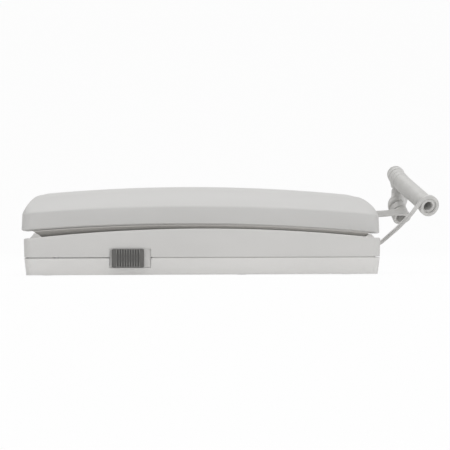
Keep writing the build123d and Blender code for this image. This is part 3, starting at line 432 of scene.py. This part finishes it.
def laminateFinish(name, setting):
    # Green board: paler tracks under the varnish as a grid of bricks, over a fine glass weave
    shared = boardSetting
    material, tree, shader = newMaterial(name)
    place = placed(tree)
    tracks = tree.nodes.new("ShaderNodeTexBrick")
    tracks.offset = shared["trackOffset"]
    tracks.inputs["Color1"].default_value = setting["track"] + (1.0,)
    tracks.inputs["Color2"].default_value = shaded(setting["track"], shared["trackShade"]) + (1.0,)
    tracks.inputs["Mortar"].default_value = setting["colour"] + (1.0,)
    tracks.inputs["Scale"].default_value = 1.0 / (setting["pitch"] * mm)
    tracks.inputs["Mortar Size"].default_value = shared["trackGap"]
    tracks.inputs["Brick Width"].default_value = shared["trackWidth"]
    tracks.inputs["Row Height"].default_value = shared["trackRow"]
    tree.links.new(place, tracks.inputs["Vector"])
    patch = noise(tree, place, shared["patchSize"], shared["patchDetail"])
    patches = ranged(tree, patch, 0.0, 1.0, *shared["patchRange"])
    board = mixed(tree, patches, setting["colour"], tracks.outputs["Color"])
    tree.links.new(board, shader.inputs["Base Color"])
    weave = noise(tree, place, shared["weaveSize"])
    tree.links.new(ranged(tree, weave, *setting["rough"]), shader.inputs["Roughness"])
    raised = bumped(tree, tracks.outputs["Fac"], shared["trackDepth"])
    tree.links.new(bumped(tree, weave, shared["weaveDepth"], raised), shader.inputs["Normal"])
    shader.inputs["Coat Weight"].default_value = shared["coat"]
    shader.inputs["Coat Roughness"].default_value = shared["coatRoughness"]
    return material


finishes = {
    "handset_plastic": mouldedPlastic("handsetPlastic", finishSetting["handset"]),
    "cover_plastic": mouldedPlastic("coverPlastic", finishSetting["cover"]),
    "button_plastic": mouldedPlastic("buttonPlastic", finishSetting["button"]),
    "knob_plastic": mouldedPlastic("knobPlastic", finishSetting["knob"]),
    "lever_plastic": mouldedPlastic("leverPlastic", finishSetting["lever"]),
    "component_black": mouldedPlastic("componentBlack", finishSetting["black"]),
    "terminal_plastic": mouldedPlastic("terminalPlastic", finishSetting["grey"]),
    "speaker_case": mouldedPlastic("speakerCase", finishSetting["speaker"]),
    "cord_sheath": cordFinish("cordSheath", finishSetting["sheath"]),
    "gland_rubber": rubberFinish("glandRubber", finishSetting["gland"]),
    "soft_rubber": rubberFinish("softRubber", finishSetting["rubber"]),
    "zinc_steel": metalFinish("zincSteel", finishSetting["steel"]),
    "capsule_metal": metalFinish("capsuleMetal", finishSetting["can"]),
    "board_laminate": laminateFinish("boardLaminate", finishSetting["laminate"]),
}

# Painted highlight on the ridges between the knob's grooves
ridgeHighlightSetting = {
    "middle": (-43.5 * mm, 9.8 * mm),  # along the unit and up
    "pitch": 13.0 / 9 * mm,
    "line": 0.30,  # share of the pitch
    "clear": 1.6 * mm,  # half height of the part where the ridges are faintest
    "full": 2.2,  # times that half height, from where they show in full
    "least": 0.25,  # how much of them shows where they are faintest
    "end": (4.7, 4.8),  # pitches from the middle, between which the last ridge ends
    "colour": (0.34, 0.335, 0.32),
}


def addRidgeHighlights(material, setting):
    # Pale lines on the ridges between the knob's grooves, a painted highlight where the ridges catch the
    # light: thin lines that repeat with the pitch and fade towards the middle of its height
    tree = material.node_tree
    shader = next(node for node in tree.nodes if node.type == "BSDF_PRINCIPLED")
    colour = shader.inputs["Base Color"].links[0].from_socket
    parts = tree.nodes.new("ShaderNodeSeparateXYZ")
    tree.links.new(placed(tree), parts.inputs[0])

    def worked(operation, first, *others):
        node = tree.nodes.new("ShaderNodeMath")
        node.operation = operation
        tree.links.new(first, node.inputs[0])
        for index, value in enumerate(others):
            if isinstance(value, float):
                node.inputs[index + 1].default_value = value
            else:
                tree.links.new(value, node.inputs[index + 1])
        return node.outputs[0]

    along, up = setting["middle"]
    pitch = setting["pitch"]
    cell = worked("PINGPONG", worked("SUBTRACT", parts.outputs["X"], along), pitch / 2)
    line = ranged(tree, cell, 0.0, 1.0, pitch / 2 * (1 - setting["line"]), pitch / 2)
    reach = worked("ABSOLUTE", worked("SUBTRACT", parts.outputs["Z"], up))
    edge = ranged(tree, reach, setting["least"], 1.0, setting["clear"], setting["full"] * setting["clear"])
    across = worked("ABSOLUTE", worked("SUBTRACT", parts.outputs["X"], along))
    inside = ranged(tree, across, 1.0, 0.0, *(share * pitch for share in setting["end"]))
    share = worked("MULTIPLY", worked("MULTIPLY", line, edge), inside)
    tree.links.new(mixed(tree, share, colour, setting["colour"]), shader.inputs["Base Color"])


addRidgeHighlights(finishes["knob_plastic"], ridgeHighlightSetting)

# Two pieces with painted light in their colour: the rear cover's plastic is lighter for the floor's bounce,
# the inner shell's darker for the shade in the gap under the handset
paintedLightFinishes = {
    "rear_cover": mouldedPlastic("rearCoverPaintedLight", finishSetting["rear"]),
    "handset_inner_shell": mouldedPlastic("innerShellPaintedShade", finishSetting["inner"]),
}
slotOf = {row["node"]: row["material_slot"] for row in frame["record"]["subparts"]}
for node in nodes:
    for place in nodes[node].material_slots:
        place.material = finishes[slotOf[node]]
print("finishes: made", len(finishes))


def standFor(piece, body, slot, *replaced):
    # The piece rides on a body, hides the CAD nodes it stands for and takes their finish
    piece.data.materials.append(finishes[slot])
    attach(piece, body)
    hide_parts(*replaced)


# Cord: one flat cord from the base, round the coil and back to the handset
cordSetting = {
    "width": 3.9 * mm,
    "thickness": 2.0 * mm,
    "squareness": 7.0,  # 2 is an ellipse, more is squarer
    "sectionPoints": 24,
    "step": 0.4 * mm,
    "helixStep": 0.02 * mm,
    "leastStep": 0.001 * mm,  # points of a line that are nearer than this are left out
    "splineSteps": 200,  # from each control point to the next
    "coilRadius": 4.2 * mm,
    "tube": 2.8 * mm,
    "turns": 26.5,
    "fanning": 0.65,  # 1 keeps the turns evenly apart on the inside of a bend, 0 on its middle line
    "startFlare": 1.9 * mm,
    "startFlareTurns": (0.5, 0.95),  # full up to the first, gone by the second
    "startNest": 0.35 * mm,  # the second turn lies inside the first one
    "startNestTurns": (1.6, 2.3),
    "startCrowd": 2.5,  # added to the rate of turning, which is 1 where the coil is straight
    "startCrowdRun": (0.9 * mm, 1.8 * mm),
    "startLayTurns": (0.0, 0.35),  # over which the broad side turns to lie along the coil
    "endFlare": 0.2 * mm,
    "endFlareTurns": (0.1, 0.9),
    "bendSmoothing": 6.0 * mm,
    "startSide": (-0.755, -0.514, 0.408),  # direction from the coil's line to the cord at its start
    "baseRun": 1.6 * mm,  # from the coil's start back to the last bend of the base's lead
    "handsetRun": 4.0 * mm,  # from its end on to the first bend of the handset's lead
    "handsetTurn": 0.625,  # share of the handset's lead over which the broad side turns upright
    "liftHeights": (16.6 * mm, 27.0 * mm),  # heights on the base lead between which the real cord gives as the handset takes the coil along
}

# Control points of the coil's middle line, and of the leads' lines from where they leave the glands
baseRoute = mm * np.array([
    (104.48, -4.0, 16.28), (107.86, -4.0, 17.52), (110.9, -4.7, 20.1), (114.2, -8.2, 23.6),
    (117.5, -13.6, 27.3), (120.4, -19.6, 31.4), (123.2, -24.4, 35.1),
])
coilRoute = mm * np.array([
    (133.4, -21.7, 39.7), (129.9, -9.0, 45.7), (126.4, 2.0, 50.8), (122.9, 12.0, 56.2),
    (122.4, 21.5, 60.2), (125.0, 30.0, 59.6), (127.8, 35.2, 54.0), (128.0, 34.8, 47.4),
    (126.0, 29.0, 43.2), (123.0, 21.0, 42.0), (121.5, 13.4, 39.8), (123.8, 7.9, 32.9),
])
handsetRoute = mm * np.array([(105.95, 0.0, 35.3), (109.95, 0.0, 35.3)])


def splineLine(name, route):
    # Points along a NURBS spline that has the route as its control points
    curve = bpy.data.curves.new(name, "CURVE")
    curve.dimensions = "3D"
    spline = curve.splines.new("NURBS")
    spline.points.add(len(route) - 1)
    spline.points.foreach_set("co", np.c_[route, np.ones(len(route))].ravel())
    spline.order_u = 3
    spline.use_endpoint_u = True
    spline.resolution_u = cordSetting["splineSteps"]
    holder = bpy.data.objects.new(name, curve)
    bpy.context.scene.collection.objects.link(holder)
    mesh = bpy.data.meshes.new_from_object(holder)
    line = np.empty(3 * len(mesh.vertices))
    mesh.vertices.foreach_get("co", line)
    bpy.data.objects.remove(holder)
    bpy.data.curves.remove(curve)
    bpy.data.meshes.remove(mesh)
    return line.reshape(-1, 3)


def evenSteps(line, step, *others):
    # The line at even steps of length, and other values of its points at the same steps
    lengths = np.linalg.norm(np.diff(line, axis=0), axis=1)
    keep = np.concatenate([[True], lengths > cordSetting["leastStep"]])
    line = line[keep]
    lengths = np.linalg.norm(np.diff(line, axis=0), axis=1)
    along = np.concatenate([[0], np.cumsum(lengths)])
    even = np.linspace(0, along[-1], int(round(along[-1] / step)) + 1)
    values = [
        np.stack([np.interp(even, along, value[:, k]) for k in range(value.shape[1])], axis=1)
        for value in (line,) + tuple(other[keep] for other in others)
    ]
    return values, even[1]


def eased(share):
    return share * share * (3 - 2 * share)


def flare(reached, size, span):
    # The size in full up to the first end of the span, easing to nothing by the second
    return size * (1 - eased(np.clip((reached - span[0]) / (span[1] - span[0]), 0, 1)))


def helixLine(route):
    # A helix round the route's spline: radius times a turning direction, added to the spline.
    # Its turns lie nearer together on the inside of a bend than on the outside, where they fan out.
    (middle,), step = evenSteps(splineLine("coilRoute", route), cordSetting["helixStep"])
    ahead = unit(np.gradient(middle, step, axis=0))
    bend = np.linalg.norm(np.gradient(ahead, step, axis=0), axis=1)
    window = int(cordSetting["bendSmoothing"] / step) | 1
    bend = np.convolve(np.pad(bend, window // 2, mode="edge"), np.ones(window) / window, mode="valid")
    rate = 1 - cordSetting["fanning"] * bend * (cordSetting["coilRadius"] + cordSetting["tube"] / 2)
    run = step * np.arange(len(middle))
    rate = rate + flare(run, cordSetting["startCrowd"], cordSetting["startCrowdRun"])
    turned = np.concatenate([[0], np.cumsum((rate[1:] + rate[:-1]) / 2)])
    turns = cordSetting["turns"] * turned / turned[-1]

    # Side and over directions from the X axis, and the angle by which they spin about the line
    side = unit(np.array([1.0, 0.0, 0.0]) - ahead * ahead[:, :1])
    over = np.cross(ahead, side)
    spin = np.cumsum(rowDot(np.gradient(side, axis=0), over)[:, 0])
    start = np.array(cordSetting["startSide"])
    phase = atan2(start @ over[0], start @ side[0]) + 2 * pi * turns - (spin - spin[0])
    radius = cordSetting["coilRadius"]
    radius = radius + flare(turns, cordSetting["startFlare"], cordSetting["startFlareTurns"])
    radius = radius - flare(turns, cordSetting["startNest"], cordSetting["startNestTurns"])
    radius = radius + flare(turns[-1] - turns, cordSetting["endFlare"], cordSetting["endFlareTurns"])
    around = np.cos(phase)[:, None] * side + np.sin(phase)[:, None] * over
    across = flare(turns, 1.0, cordSetting["startLayTurns"])[:, None]
    return middle + radius[:, None] * around, across * np.array([0.0, 1.0, 0.0]) + (1 - across) * ahead


def cordPath():
    # The whole cord's line, and the way in which its broad side lies: along the coil's axis in the
    # coil, across the unit where it leaves the base and upright where it meets the handset
    helix, axis = helixLine(coilRoute)
    startWay = unit(helix[1] - helix[0])
    endWay = unit(helix[-1] - helix[-2])
    coilStart = helix[0] - cordSetting["tube"] * startWay
    coilEnd = helix[-1] + cordSetting["tube"] * endWay
    baseCorner = coilStart - cordSetting["baseRun"] * startWay
    handsetCorner = coilEnd + cordSetting["handsetRun"] * endWay
    baseLead = splineLine("baseLead", np.vstack([baseRoute, baseCorner, coilStart]))
    handsetLead = splineLine("handsetLead", np.vstack([coilEnd, handsetCorner, handsetRoute[::-1]]))
    turned = np.linspace(0, 1 / cordSetting["handsetTurn"], len(handsetLead))
    handsetShare = eased(np.clip(turned, 0, 1))[:, None]
    baseBroad = np.tile([0.0, 1.0, 0.0], (len(baseLead), 1))
    handsetBroad = (1 - handsetShare) * axis[-1] + handsetShare * np.array([0.0, 0.0, -1.0])
    path = np.vstack([baseLead, helix, handsetLead])
    broad = np.vstack([baseBroad, axis, handsetBroad])
    (path, broad), step = evenSteps(path, cordSetting["step"], broad)
    return path, broad, step


def makeCord():
    # A rounded flat section, whose half sizes are multiplied by powers of cosine and sine, along the path
    path, broad, step = cordPath()
    ahead = unit(np.gradient(path, axis=0))
    broad = unit(broad - ahead * rowDot(broad, ahead))
    flat = np.cross(ahead, broad)
    count = cordSetting["sectionPoints"]
    around = np.linspace(0, 2 * pi, count, endpoint=False)
    power = 2 / cordSetting["squareness"]
    across = cordSetting["width"] / 2 * np.sign(np.cos(around)) * np.abs(np.cos(around)) ** power
    through = cordSetting["thickness"] / 2 * np.sign(np.sin(around)) * np.abs(np.sin(around)) ** power
    rings = path[:, None] + across[None, :, None] * broad[:, None] + through[None, :, None] * flat[:, None]
    points, quads, tips = closedBar(rings, path[[0, -1]])
    piece = makeMesh("flatCord", points, quads, tips)

    # Map for the drawn lines: along the cord in centimetres, round it from 0 to 1
    corners = np.empty(len(piece.data.loops), dtype=np.int32)
    piece.data.loops.foreach_get("vertex_index", corners)
    along = np.minimum(corners // count, len(path) - 1) * step / (10 * mm)
    turned = (corners % count) / count
    seam = np.zeros(len(corners), bool)
    seam[:4 * len(quads)] = np.tile([False, True, True, False], len(quads)) & (turned[:4 * len(quads)] == 0)
    piece.data.uv_layers.new(name="alongCord")
    piece.data.uv_layers["alongCord"].data.foreach_set("uv", np.c_[along, turned + seam].ravel())
    piece.data.materials.append(finishes["cord_sheath"])
    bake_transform(piece)
    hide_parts("base_cord_lead", "cord_coil", "handset_cord_lead")


makeCord()


# Handset outer shell: three arched surfaces blended together over a rounded outline, hollow underneath
handsetSetting = {
    "halfLength": 104.0 * mm,
    "halfWidth": 30.0 * mm,
    "corner": 6.0 * mm,
    "draft": 0.4 * mm,
    "wall": 2.2 * mm,
    "heights": {"low": 29.1 * mm, "crease": 39.2 * mm, "crown": 51.4 * mm},  # at the middle
    "bends": {"low": 1170.0 * mm, "crease": 1229.0 * mm, "crown": 950.0 * mm},
    "leans": {"low": 0.52, "crease": 0.28, "crown": 0.23},  # degrees, down towards the cord
    "crownAcross": 42.9 * mm,  # radius across the crown
    "endSlope": 2.05,  # rise over run at the end crease
    "endReach": 11.1 * mm,  # how far in the end slope levels out
    "endBeyond": 0.4,  # rise over run further in than that
    "creaseRound": 0.8 * mm,
    "lowChamfer": 0.75 * mm,
    "blend": 0.9 * mm,
    "creaseAngle": 35,  # degrees; sharper edges aren't shaded smoothly
    "rim": 0.3 * mm,
    "shoulder": 1.6 * mm,  # how far under the ceiling the inside of the wall begins
    "fineInset": 6.0 * mm,  # the rings of the top lie closer together up to this inset
    "rings": {"ceiling": 26, "inside": 5, "outside": 9, "crease": 7, "fine": 18, "top": 30},
    "outlinePoints": {"side": 72, "end": 28, "corner": 9},
    "postPlaces": (-36.0 * mm, 36.0 * mm),
    "postRadii": (1.3 * mm, 3.0 * mm),
    "postFoot": 28.3 * mm,
    "postChamfer": 0.25 * mm,
    "overPost": 0.4,  # share of the wall that is left over the post's top
    "postPoints": 40,
}


def archedHeight(which, x):
    # A circle through the middle height, then tilted by the lean
    radius = handsetSetting["bends"][which]
    height = handsetSetting["heights"][which] - radius + np.sqrt(radius**2 - x**2)
    return height - tan(radians(handsetSetting["leans"][which])) * x


def softLow(first, second, blend):
    # The lower of two surfaces, with the fold between them rounded over the blend
    share = np.clip(0.5 + 0.5 * (second - first) / blend, 0, 1)
    return second * (1 - share) + first * share - blend * share * (1 - share)


def handsetTop(x, y):
    # Lowest of the crown, round across the handset, a slope up from each side crease and a parabola up
    # from each end crease, which levels out at its reach and goes on up more gently from there. The fold
    # between side and end is rounded twice as wide as the one to the crown.
    crownRadius = handsetSetting["crownAcross"]
    crown = archedHeight("crown", x) - crownRadius + np.sqrt(crownRadius**2 - y**2)
    creaseHalf = handsetSetting["halfWidth"] - handsetSetting["draft"]
    sides = archedHeight("crease", x) + creaseHalf - np.abs(y)
    creaseEnd = handsetSetting["halfLength"] - handsetSetting["draft"]
    inward = creaseEnd - np.abs(x)
    reach = handsetSetting["endReach"]
    near = np.minimum(inward, reach)
    rise = handsetSetting["endSlope"] * (near - near**2 / (2 * reach))
    rise = rise + handsetSetting["endBeyond"] * np.maximum(inward - reach, 0)
    ends = archedHeight("crease", np.sign(x) * creaseEnd) + rise
    return softLow(crown, softLow(sides, ends, 2 * handsetSetting["blend"]), handsetSetting["blend"])


def roundedOutline(inset):
    # Points of a rounded rectangle, inset from the widest outline; its corners shrink to the middle line
    points = handsetSetting["outlinePoints"]
    halfX = handsetSetting["halfLength"] - inset
    halfY = handsetSetting["halfWidth"] - inset
    radius = handsetSetting["corner"] * max(0.0, 1 - inset / handsetSetting["halfWidth"])
    turn = np.linspace(0, pi / 2, points["corner"])
    arcX = halfX - radius + radius * np.cos(turn)
    arcY = halfY - radius + radius * np.sin(turn)
    sideX = np.linspace(arcX[-1], -arcX[-1], points["side"])[1:-1]
    endY = np.linspace(arcY[0], -arcY[0], points["end"])[1:-1]
    side, end = np.full(len(sideX), halfY), np.full(len(endY), halfX)
    x = np.concatenate([arcX, sideX, -arcX[::-1], -end, -arcX, -sideX, arcX[::-1], end])
    y = np.concatenate([arcY, side, arcY[::-1], endY, -arcY, -side, -arcY[::-1], -endY])
    return x, y


def ringAt(inset, height):
    # One ring of the shell: the outline at an inset, lifted to a height worked out from its points
    x, y = roundedOutline(inset)
    return np.stack([x, y, height(x, y)], axis=-1)


def shellRings():
    # Rings from the ceiling's middle line down the inside, round the rim, up the outside and over the top
    low, crease, wall = handsetSetting["draft"], handsetSetting["creaseRound"], handsetSetting["wall"]
    halfWidth, rim, fine = handsetSetting["halfWidth"], handsetSetting["rim"], handsetSetting["fineInset"]
    chamfer, counts = handsetSetting["lowChamfer"], handsetSetting["rings"]

    # The end and side slopes meet higher than the crease in the corners, so the excess is taken off,
    # in full at the crease and less further in
    creaseX, creaseY = roundedOutline(low)
    excess = handsetTop(creaseX, creaseY) - archedHeight("crease", creaseX)

    def topRing(inset):
        share = max(0.0, 1 - (inset - low) / handsetSetting["corner"]) ** 2
        ring = ringAt(inset, handsetTop)
        ring[:, 2] -= share * excess
        return ring

    def lowEdge(x, y):
        return archedHeight("low", x)

    def ceiling(x, y):
        return handsetTop(x, y) - wall

    insets = np.linspace(halfWidth, wall + low + crease, counts["ceiling"])
    rings = [ringAt(inset, ceiling) for inset in insets]
    innerTop = ringAt(wall + low, lambda x, y: ceiling(x, y) - handsetSetting["shoulder"])
    innerLow = ringAt(wall, lambda x, y: lowEdge(x, y) + rim)
    rings += [innerTop + share * (innerLow - innerTop) for share in np.linspace(0, 1, counts["inside"])]
    rings.append(ringAt(wall - rim, lowEdge))
    under = ringAt(chamfer, lowEdge)
    outerLow = ringAt(0, lambda x, y: lowEdge(x, y) + chamfer)
    rings += [under, 0.5 * (under + outerLow)]
    corner = topRing(low)
    outerTop = corner - np.array([0, 0, crease])
    rings += [outerLow + share * (outerTop - outerLow) for share in np.linspace(0, 1, counts["outside"])]
    over = topRing(low + crease)
    rings += [
        (1 - share) ** 2 * outerTop + 2 * share * (1 - share) * corner + share**2 * over
        for share in np.linspace(0, 1, counts["crease"])[1:]
    ]
    near = np.linspace(low + crease, fine, counts["fine"])[1:]
    far = np.linspace(fine, halfWidth, counts["top"])[1:]
    rings += [topRing(inset) for inset in np.concatenate([near, far])]
    return np.array(rings)


def postRings(x):
    # A screw post under the ceiling: its wall's profile turned round its own axis
    inner, outer = handsetSetting["postRadii"]
    foot = handsetSetting["postFoot"] + archedHeight("low", x) - archedHeight("low", 0.0)
    top = handsetTop(x, 0.0) - handsetSetting["overPost"] * handsetSetting["wall"]
    chamfer = handsetSetting["postChamfer"]
    radii = np.array([inner, outer - chamfer, outer, outer, inner, inner])
    heights = np.array([foot, foot, foot + chamfer, top, top, foot])
    angle = np.linspace(0, 2 * pi, handsetSetting["postPoints"], endpoint=False)
    return np.stack([
        x + radii[:, None] * np.cos(angle), radii[:, None] * np.sin(angle),
        np.repeat(heights[:, None], len(angle), axis=1)
    ], axis=-1)


def makeHandset():
    rings = shellRings()
    points = [rings.reshape(-1, 3)]
    quads = [gridFaces(rings.shape[0], rings.shape[1])]
    for x in handsetSetting["postPlaces"]:
        post = postRings(x)
        quads.append(gridFaces(post.shape[0], post.shape[1], sum(len(part) for part in points)))
        points.append(post.reshape(-1, 3))
    piece = makeMesh("handsetShell", np.vstack(points), np.vstack(quads))
    joinDoubles(piece)
    sharpenCreases(piece, handsetSetting["creaseAngle"])
    standFor(piece, "handset", "handset_plastic", "handset_outer_shell")


makeHandset()
print("handset: outer shell made")


trimCrease = 40  # degrees


def makeTrim(name, rings):
    # A solid bar of the covers' plastic through rings of points
    piece = makeMesh(name, *closedBar(rings, rings[[0, -1]].mean(axis=1)))
    joinDoubles(piece)
    sharpenCreases(piece, trimCrease)
    piece.data.materials.append(finishes["cover_plastic"])
    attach(piece, "base")


# Ramps of the cradle behind its end stops, in step with the slopes at the ends of the handset's inner
# shell. Corners are given outwards from the middle of the unit, and up.
rampSetting = {
    "ear": {
        "side": -1,
        "top": (96.9 * mm, 24.1 * mm),
        "edge": (95.7 * mm, 24.15 * mm),
        "foot": (92.6 * mm, 22.25 * mm),
    },
    "mouth": {
        "side": 1,
        "top": (96.9 * mm, 22.9 * mm),
        "edge": (95.9 * mm, 22.6 * mm),
        "foot": (92.9 * mm, 20.8 * mm),
    },
    "halfWidth": 35.9 * mm,
    "low": 17.9 * mm,
}


def makeRamp(name):
    # A five-cornered section stretched across the unit
    setting, low = rampSetting[name], rampSetting["low"]
    top, edge, foot = setting["top"], setting["edge"], setting["foot"]
    section = np.array([(top[0], low), top, edge, foot, (foot[0], low)])
    along, up = setting["side"] * section[:, 0], section[:, 1]
    half = rampSetting["halfWidth"]
    rings = [np.stack([along, np.full(len(section), across), up], axis=-1) for across in (-half, half)]
    makeTrim(name + "Ramp", np.array(rings))


makeRamp("ear")
makeRamp("mouth")
print("cradle: ramps made")


# Tongue between the two covers, right of the knob: it closes the parting gap to a shallow groove
tongueSetting = {
    "along": (-29.5 * mm, 98.0 * mm),
    "across": (-38.8 * mm, -38.3 * mm),
    "heights": (9.86 * mm, 10.34 * mm),
    "sections": 40,
}


def makeTongue():
    # A bar whose near face slopes back by half its depth over the first and the last step
    nearY, farY = tongueSetting["across"]
    x = np.linspace(*tongueSetting["along"], tongueSetting["sections"])
    near, far = np.full(len(x), nearY), np.full(len(x), farY)
    near[0] = near[-1] = 0.5 * (nearY + farY)
    low, high = (np.full(len(x), height) for height in tongueSetting["heights"])
    corners = ((near, low), (near, high), (far, high), (far, low))
    makeTrim("partingTongue", np.stack([np.stack([x, y, z], axis=-1) for y, z in corners], axis=1))


makeTongue()
print("covers: tongue made")


# Pieces whose CAD shape is right: their loose triangles are merged and shaded smoothly
mergedSetting = {
    "front_cover": ("frontCover", "base"),
    "rear_cover": ("rearCover", "base"),
    "handset_inner_shell": ("handsetInnerShell", "handset"),
    "slide_knob": ("slideKnob", "knob"),
    "door_button": ("doorButton", "button"),
    "hook_lever": ("hookLever", "hook"),
    "base_cord_gland": ("baseCordGland", "base"),
    "handset_cord_gland": ("handsetCordGland", "handset"),
    "call_speaker": ("callSpeaker", "base"),
    "terminal_block": ("terminalBlock", "base"),
    "earpiece_capsule": ("earpieceCapsule", "handset"),
    "earpiece_gasket": ("earpieceGasket", "handset"),
    "microphone": ("microphoneCapsule", "handset"),
    "microphone_boot": ("microphoneBoot", "handset"),
}
mergedStep = 0.001 * mm  # points that round to the same step become one point
mergedCrease = 32  # degrees


def makeMerged(node, name, body):
    # The CAD node's triangles over its merged points
    mesh = nodes[node].data
    points = np.empty(3 * len(mesh.vertices))
    mesh.vertices.foreach_get("co", points)
    mesh.calc_loop_triangles()
    corners = np.empty(3 * len(mesh.loop_triangles), dtype=np.int32)
    mesh.loop_triangles.foreach_get("vertices", corners)
    rounded = np.round(points.reshape(-1, 3) / mergedStep).astype(np.int64)
    first, same = np.unique(rounded, axis=0, return_index=True, return_inverse=True)[1:]
    triangles = same.ravel()[corners].reshape(-1, 3)
    piece = makeMesh(name, points.reshape(-1, 3)[first], np.zeros((0, 4), int), triangles)
    sharpenCreases(piece, mergedCrease)
    standFor(piece, body, slotOf[node], node)
    # The rear cover and the inner shell take their finishes with painted light and painted shade
    if node in paintedLightFinishes:
        piece.data.materials[0] = paintedLightFinishes[node]
    return piece


for node, (name, body) in mergedSetting.items():
    makeMerged(node, name, body)
print("shells: merged", len(mergedSetting))


# The button's spring, merged like the pieces above and given a mesh of its own
buttonSpring = makeMerged("button_spring", "buttonSpring", "handset")
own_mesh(buttonSpring)


# Light: an even white world, a soft lamp overhead, and a white floor that runs up into a backdrop
studioSetting = {
    "worldLight": 0.50,
    "lamps": {
        "front": {"power": 2.0, "size": 0.6, "place": (0.1, -1.3, 0.1), "aim": (0.05, 0.0, 0.01)},
        "overhead": {"power": 10.2, "size": 1.6, "place": (0.0, 0.15, 1.5), "aim": (0.0, 0.0, 0.0)},
        "side": {"power": 1.1, "size": 0.8, "place": (0.75, -0.95, 0.35), "aim": (0.05, 0.0, 0.02)},
    },
    "floorColour": (0.97, 0.97, 0.97, 1.0),
    "shownWhite": 0.94,
    "front": -3.0,
    "bendStart": 1.2,
    "bendRadius": 1.0,
    "bendPoints": 25,
    "height": 4.0,
    "halfWidth": 4.0,
}


def shownShare(tree):
    # 1 for rays from the camera and for mirrored and passed ones, 0 for the rest
    rays = tree.nodes.new("ShaderNodeLightPath")
    share = rays.outputs["Is Camera Ray"]
    for other in ("Is Glossy Ray", "Is Transmission Ray"):
        node = tree.nodes.new("ShaderNodeMath")
        node.operation = "MAXIMUM"
        tree.links.new(share, node.inputs[0])
        tree.links.new(rays.outputs[other], node.inputs[1])
        share = node.outputs[0]
    return share


def linkShown(tree, share, lit, seen, out):
    # One shader for the rays that show a surface, and the other for those that light it
    mix = tree.nodes.new("ShaderNodeMixShader")
    for index, output in enumerate((share, lit.outputs[0], seen.outputs[0])):
        tree.links.new(output, mix.inputs[index])
    tree.links.new(mix.outputs[0], out.inputs[0])


def makeWorld():
    world = bpy.data.worlds.new("studio")
    world.use_nodes = True
    bpy.context.scene.world = world
    tree = world.node_tree
    tree.nodes.clear()
    out = tree.nodes.new("ShaderNodeOutputWorld")
    lit = tree.nodes.new("ShaderNodeBackground")
    lit.inputs["Strength"].default_value = studioSetting["worldLight"]
    seen = tree.nodes.new("ShaderNodeBackground")
    seen.inputs["Strength"].default_value = 1.0
    linkShown(tree, shownShare(tree), lit, seen, out)
    for background in (lit, seen):
        background.inputs["Color"].default_value = (1.0, 1.0, 1.0, 1.0)


def makeLamp(name, setting):
    # A round soft lamp turned to look at its aim
    lamp = bpy.data.lights.new(name, "AREA")
    lamp.shape = "DISK"
    lamp.size = setting["size"]
    lamp.energy = setting["power"]
    holder = bpy.data.objects.new(name, lamp)
    back = unit(np.array(setting["place"]) - np.array(setting["aim"]))
    side = unit(np.cross([0.0, 1.0, 0.0], back))
    place = np.eye(4)
    place[:3, 0] = side
    place[:3, 1] = np.cross(back, side)
    place[:3, 2] = back
    place[:3, 3] = setting["place"]
    holder.matrix_world = Matrix(place.tolist())
    bpy.context.scene.collection.objects.link(holder)


def makeFloor():
    # Flat under the unit, then a quarter circle behind it, then upright
    radius = studioSetting["bendRadius"]
    turn = np.linspace(0, pi / 2, studioSetting["bendPoints"])
    along = np.concatenate([[studioSetting["front"]], studioSetting["bendStart"] + radius * np.sin(turn)])
    along = np.append(along, along[-1])
    height = np.concatenate([[0.0], radius * (1 - np.cos(turn)), [studioSetting["height"]]])
    sides = np.array([-1.0, 1.0]) * studioSetting["halfWidth"]
    points = np.stack([np.repeat(sides, len(along)), np.tile(along, 2), np.tile(height, 2)], axis=-1)
    here = np.arange(len(along) - 1)
    far = here + len(along)
    floor = makeMesh("floor", points, np.stack([here, far, far + 1, here + 1], axis=-1))
    material = bpy.data.materials.new("whiteFloor")
    material.use_nodes = True
    tree = material.node_tree
    tree.nodes.clear()
    out = tree.nodes.new("ShaderNodeOutputMaterial")
    matt = tree.nodes.new("ShaderNodeBsdfDiffuse")
    matt.inputs["Color"].default_value = studioSetting["floorColour"]
    glow = tree.nodes.new("ShaderNodeEmission")
    glow.inputs["Color"].default_value = (1.0, 1.0, 1.0, 1.0)
    share = tree.nodes.new("ShaderNodeMath")
    share.operation = "MULTIPLY"
    share.inputs[1].default_value = studioSetting["shownWhite"]
    tree.links.new(shownShare(tree), share.inputs[0])
    linkShown(tree, share.outputs[0], matt, glow, out)
    floor.data.materials.append(material)


makeWorld()
makeFloor()
for name, setting in studioSetting["lamps"].items():
    makeLamp(name, setting)
print("studio: lit")

bpy.context.scene.view_settings.view_transform = "Standard"
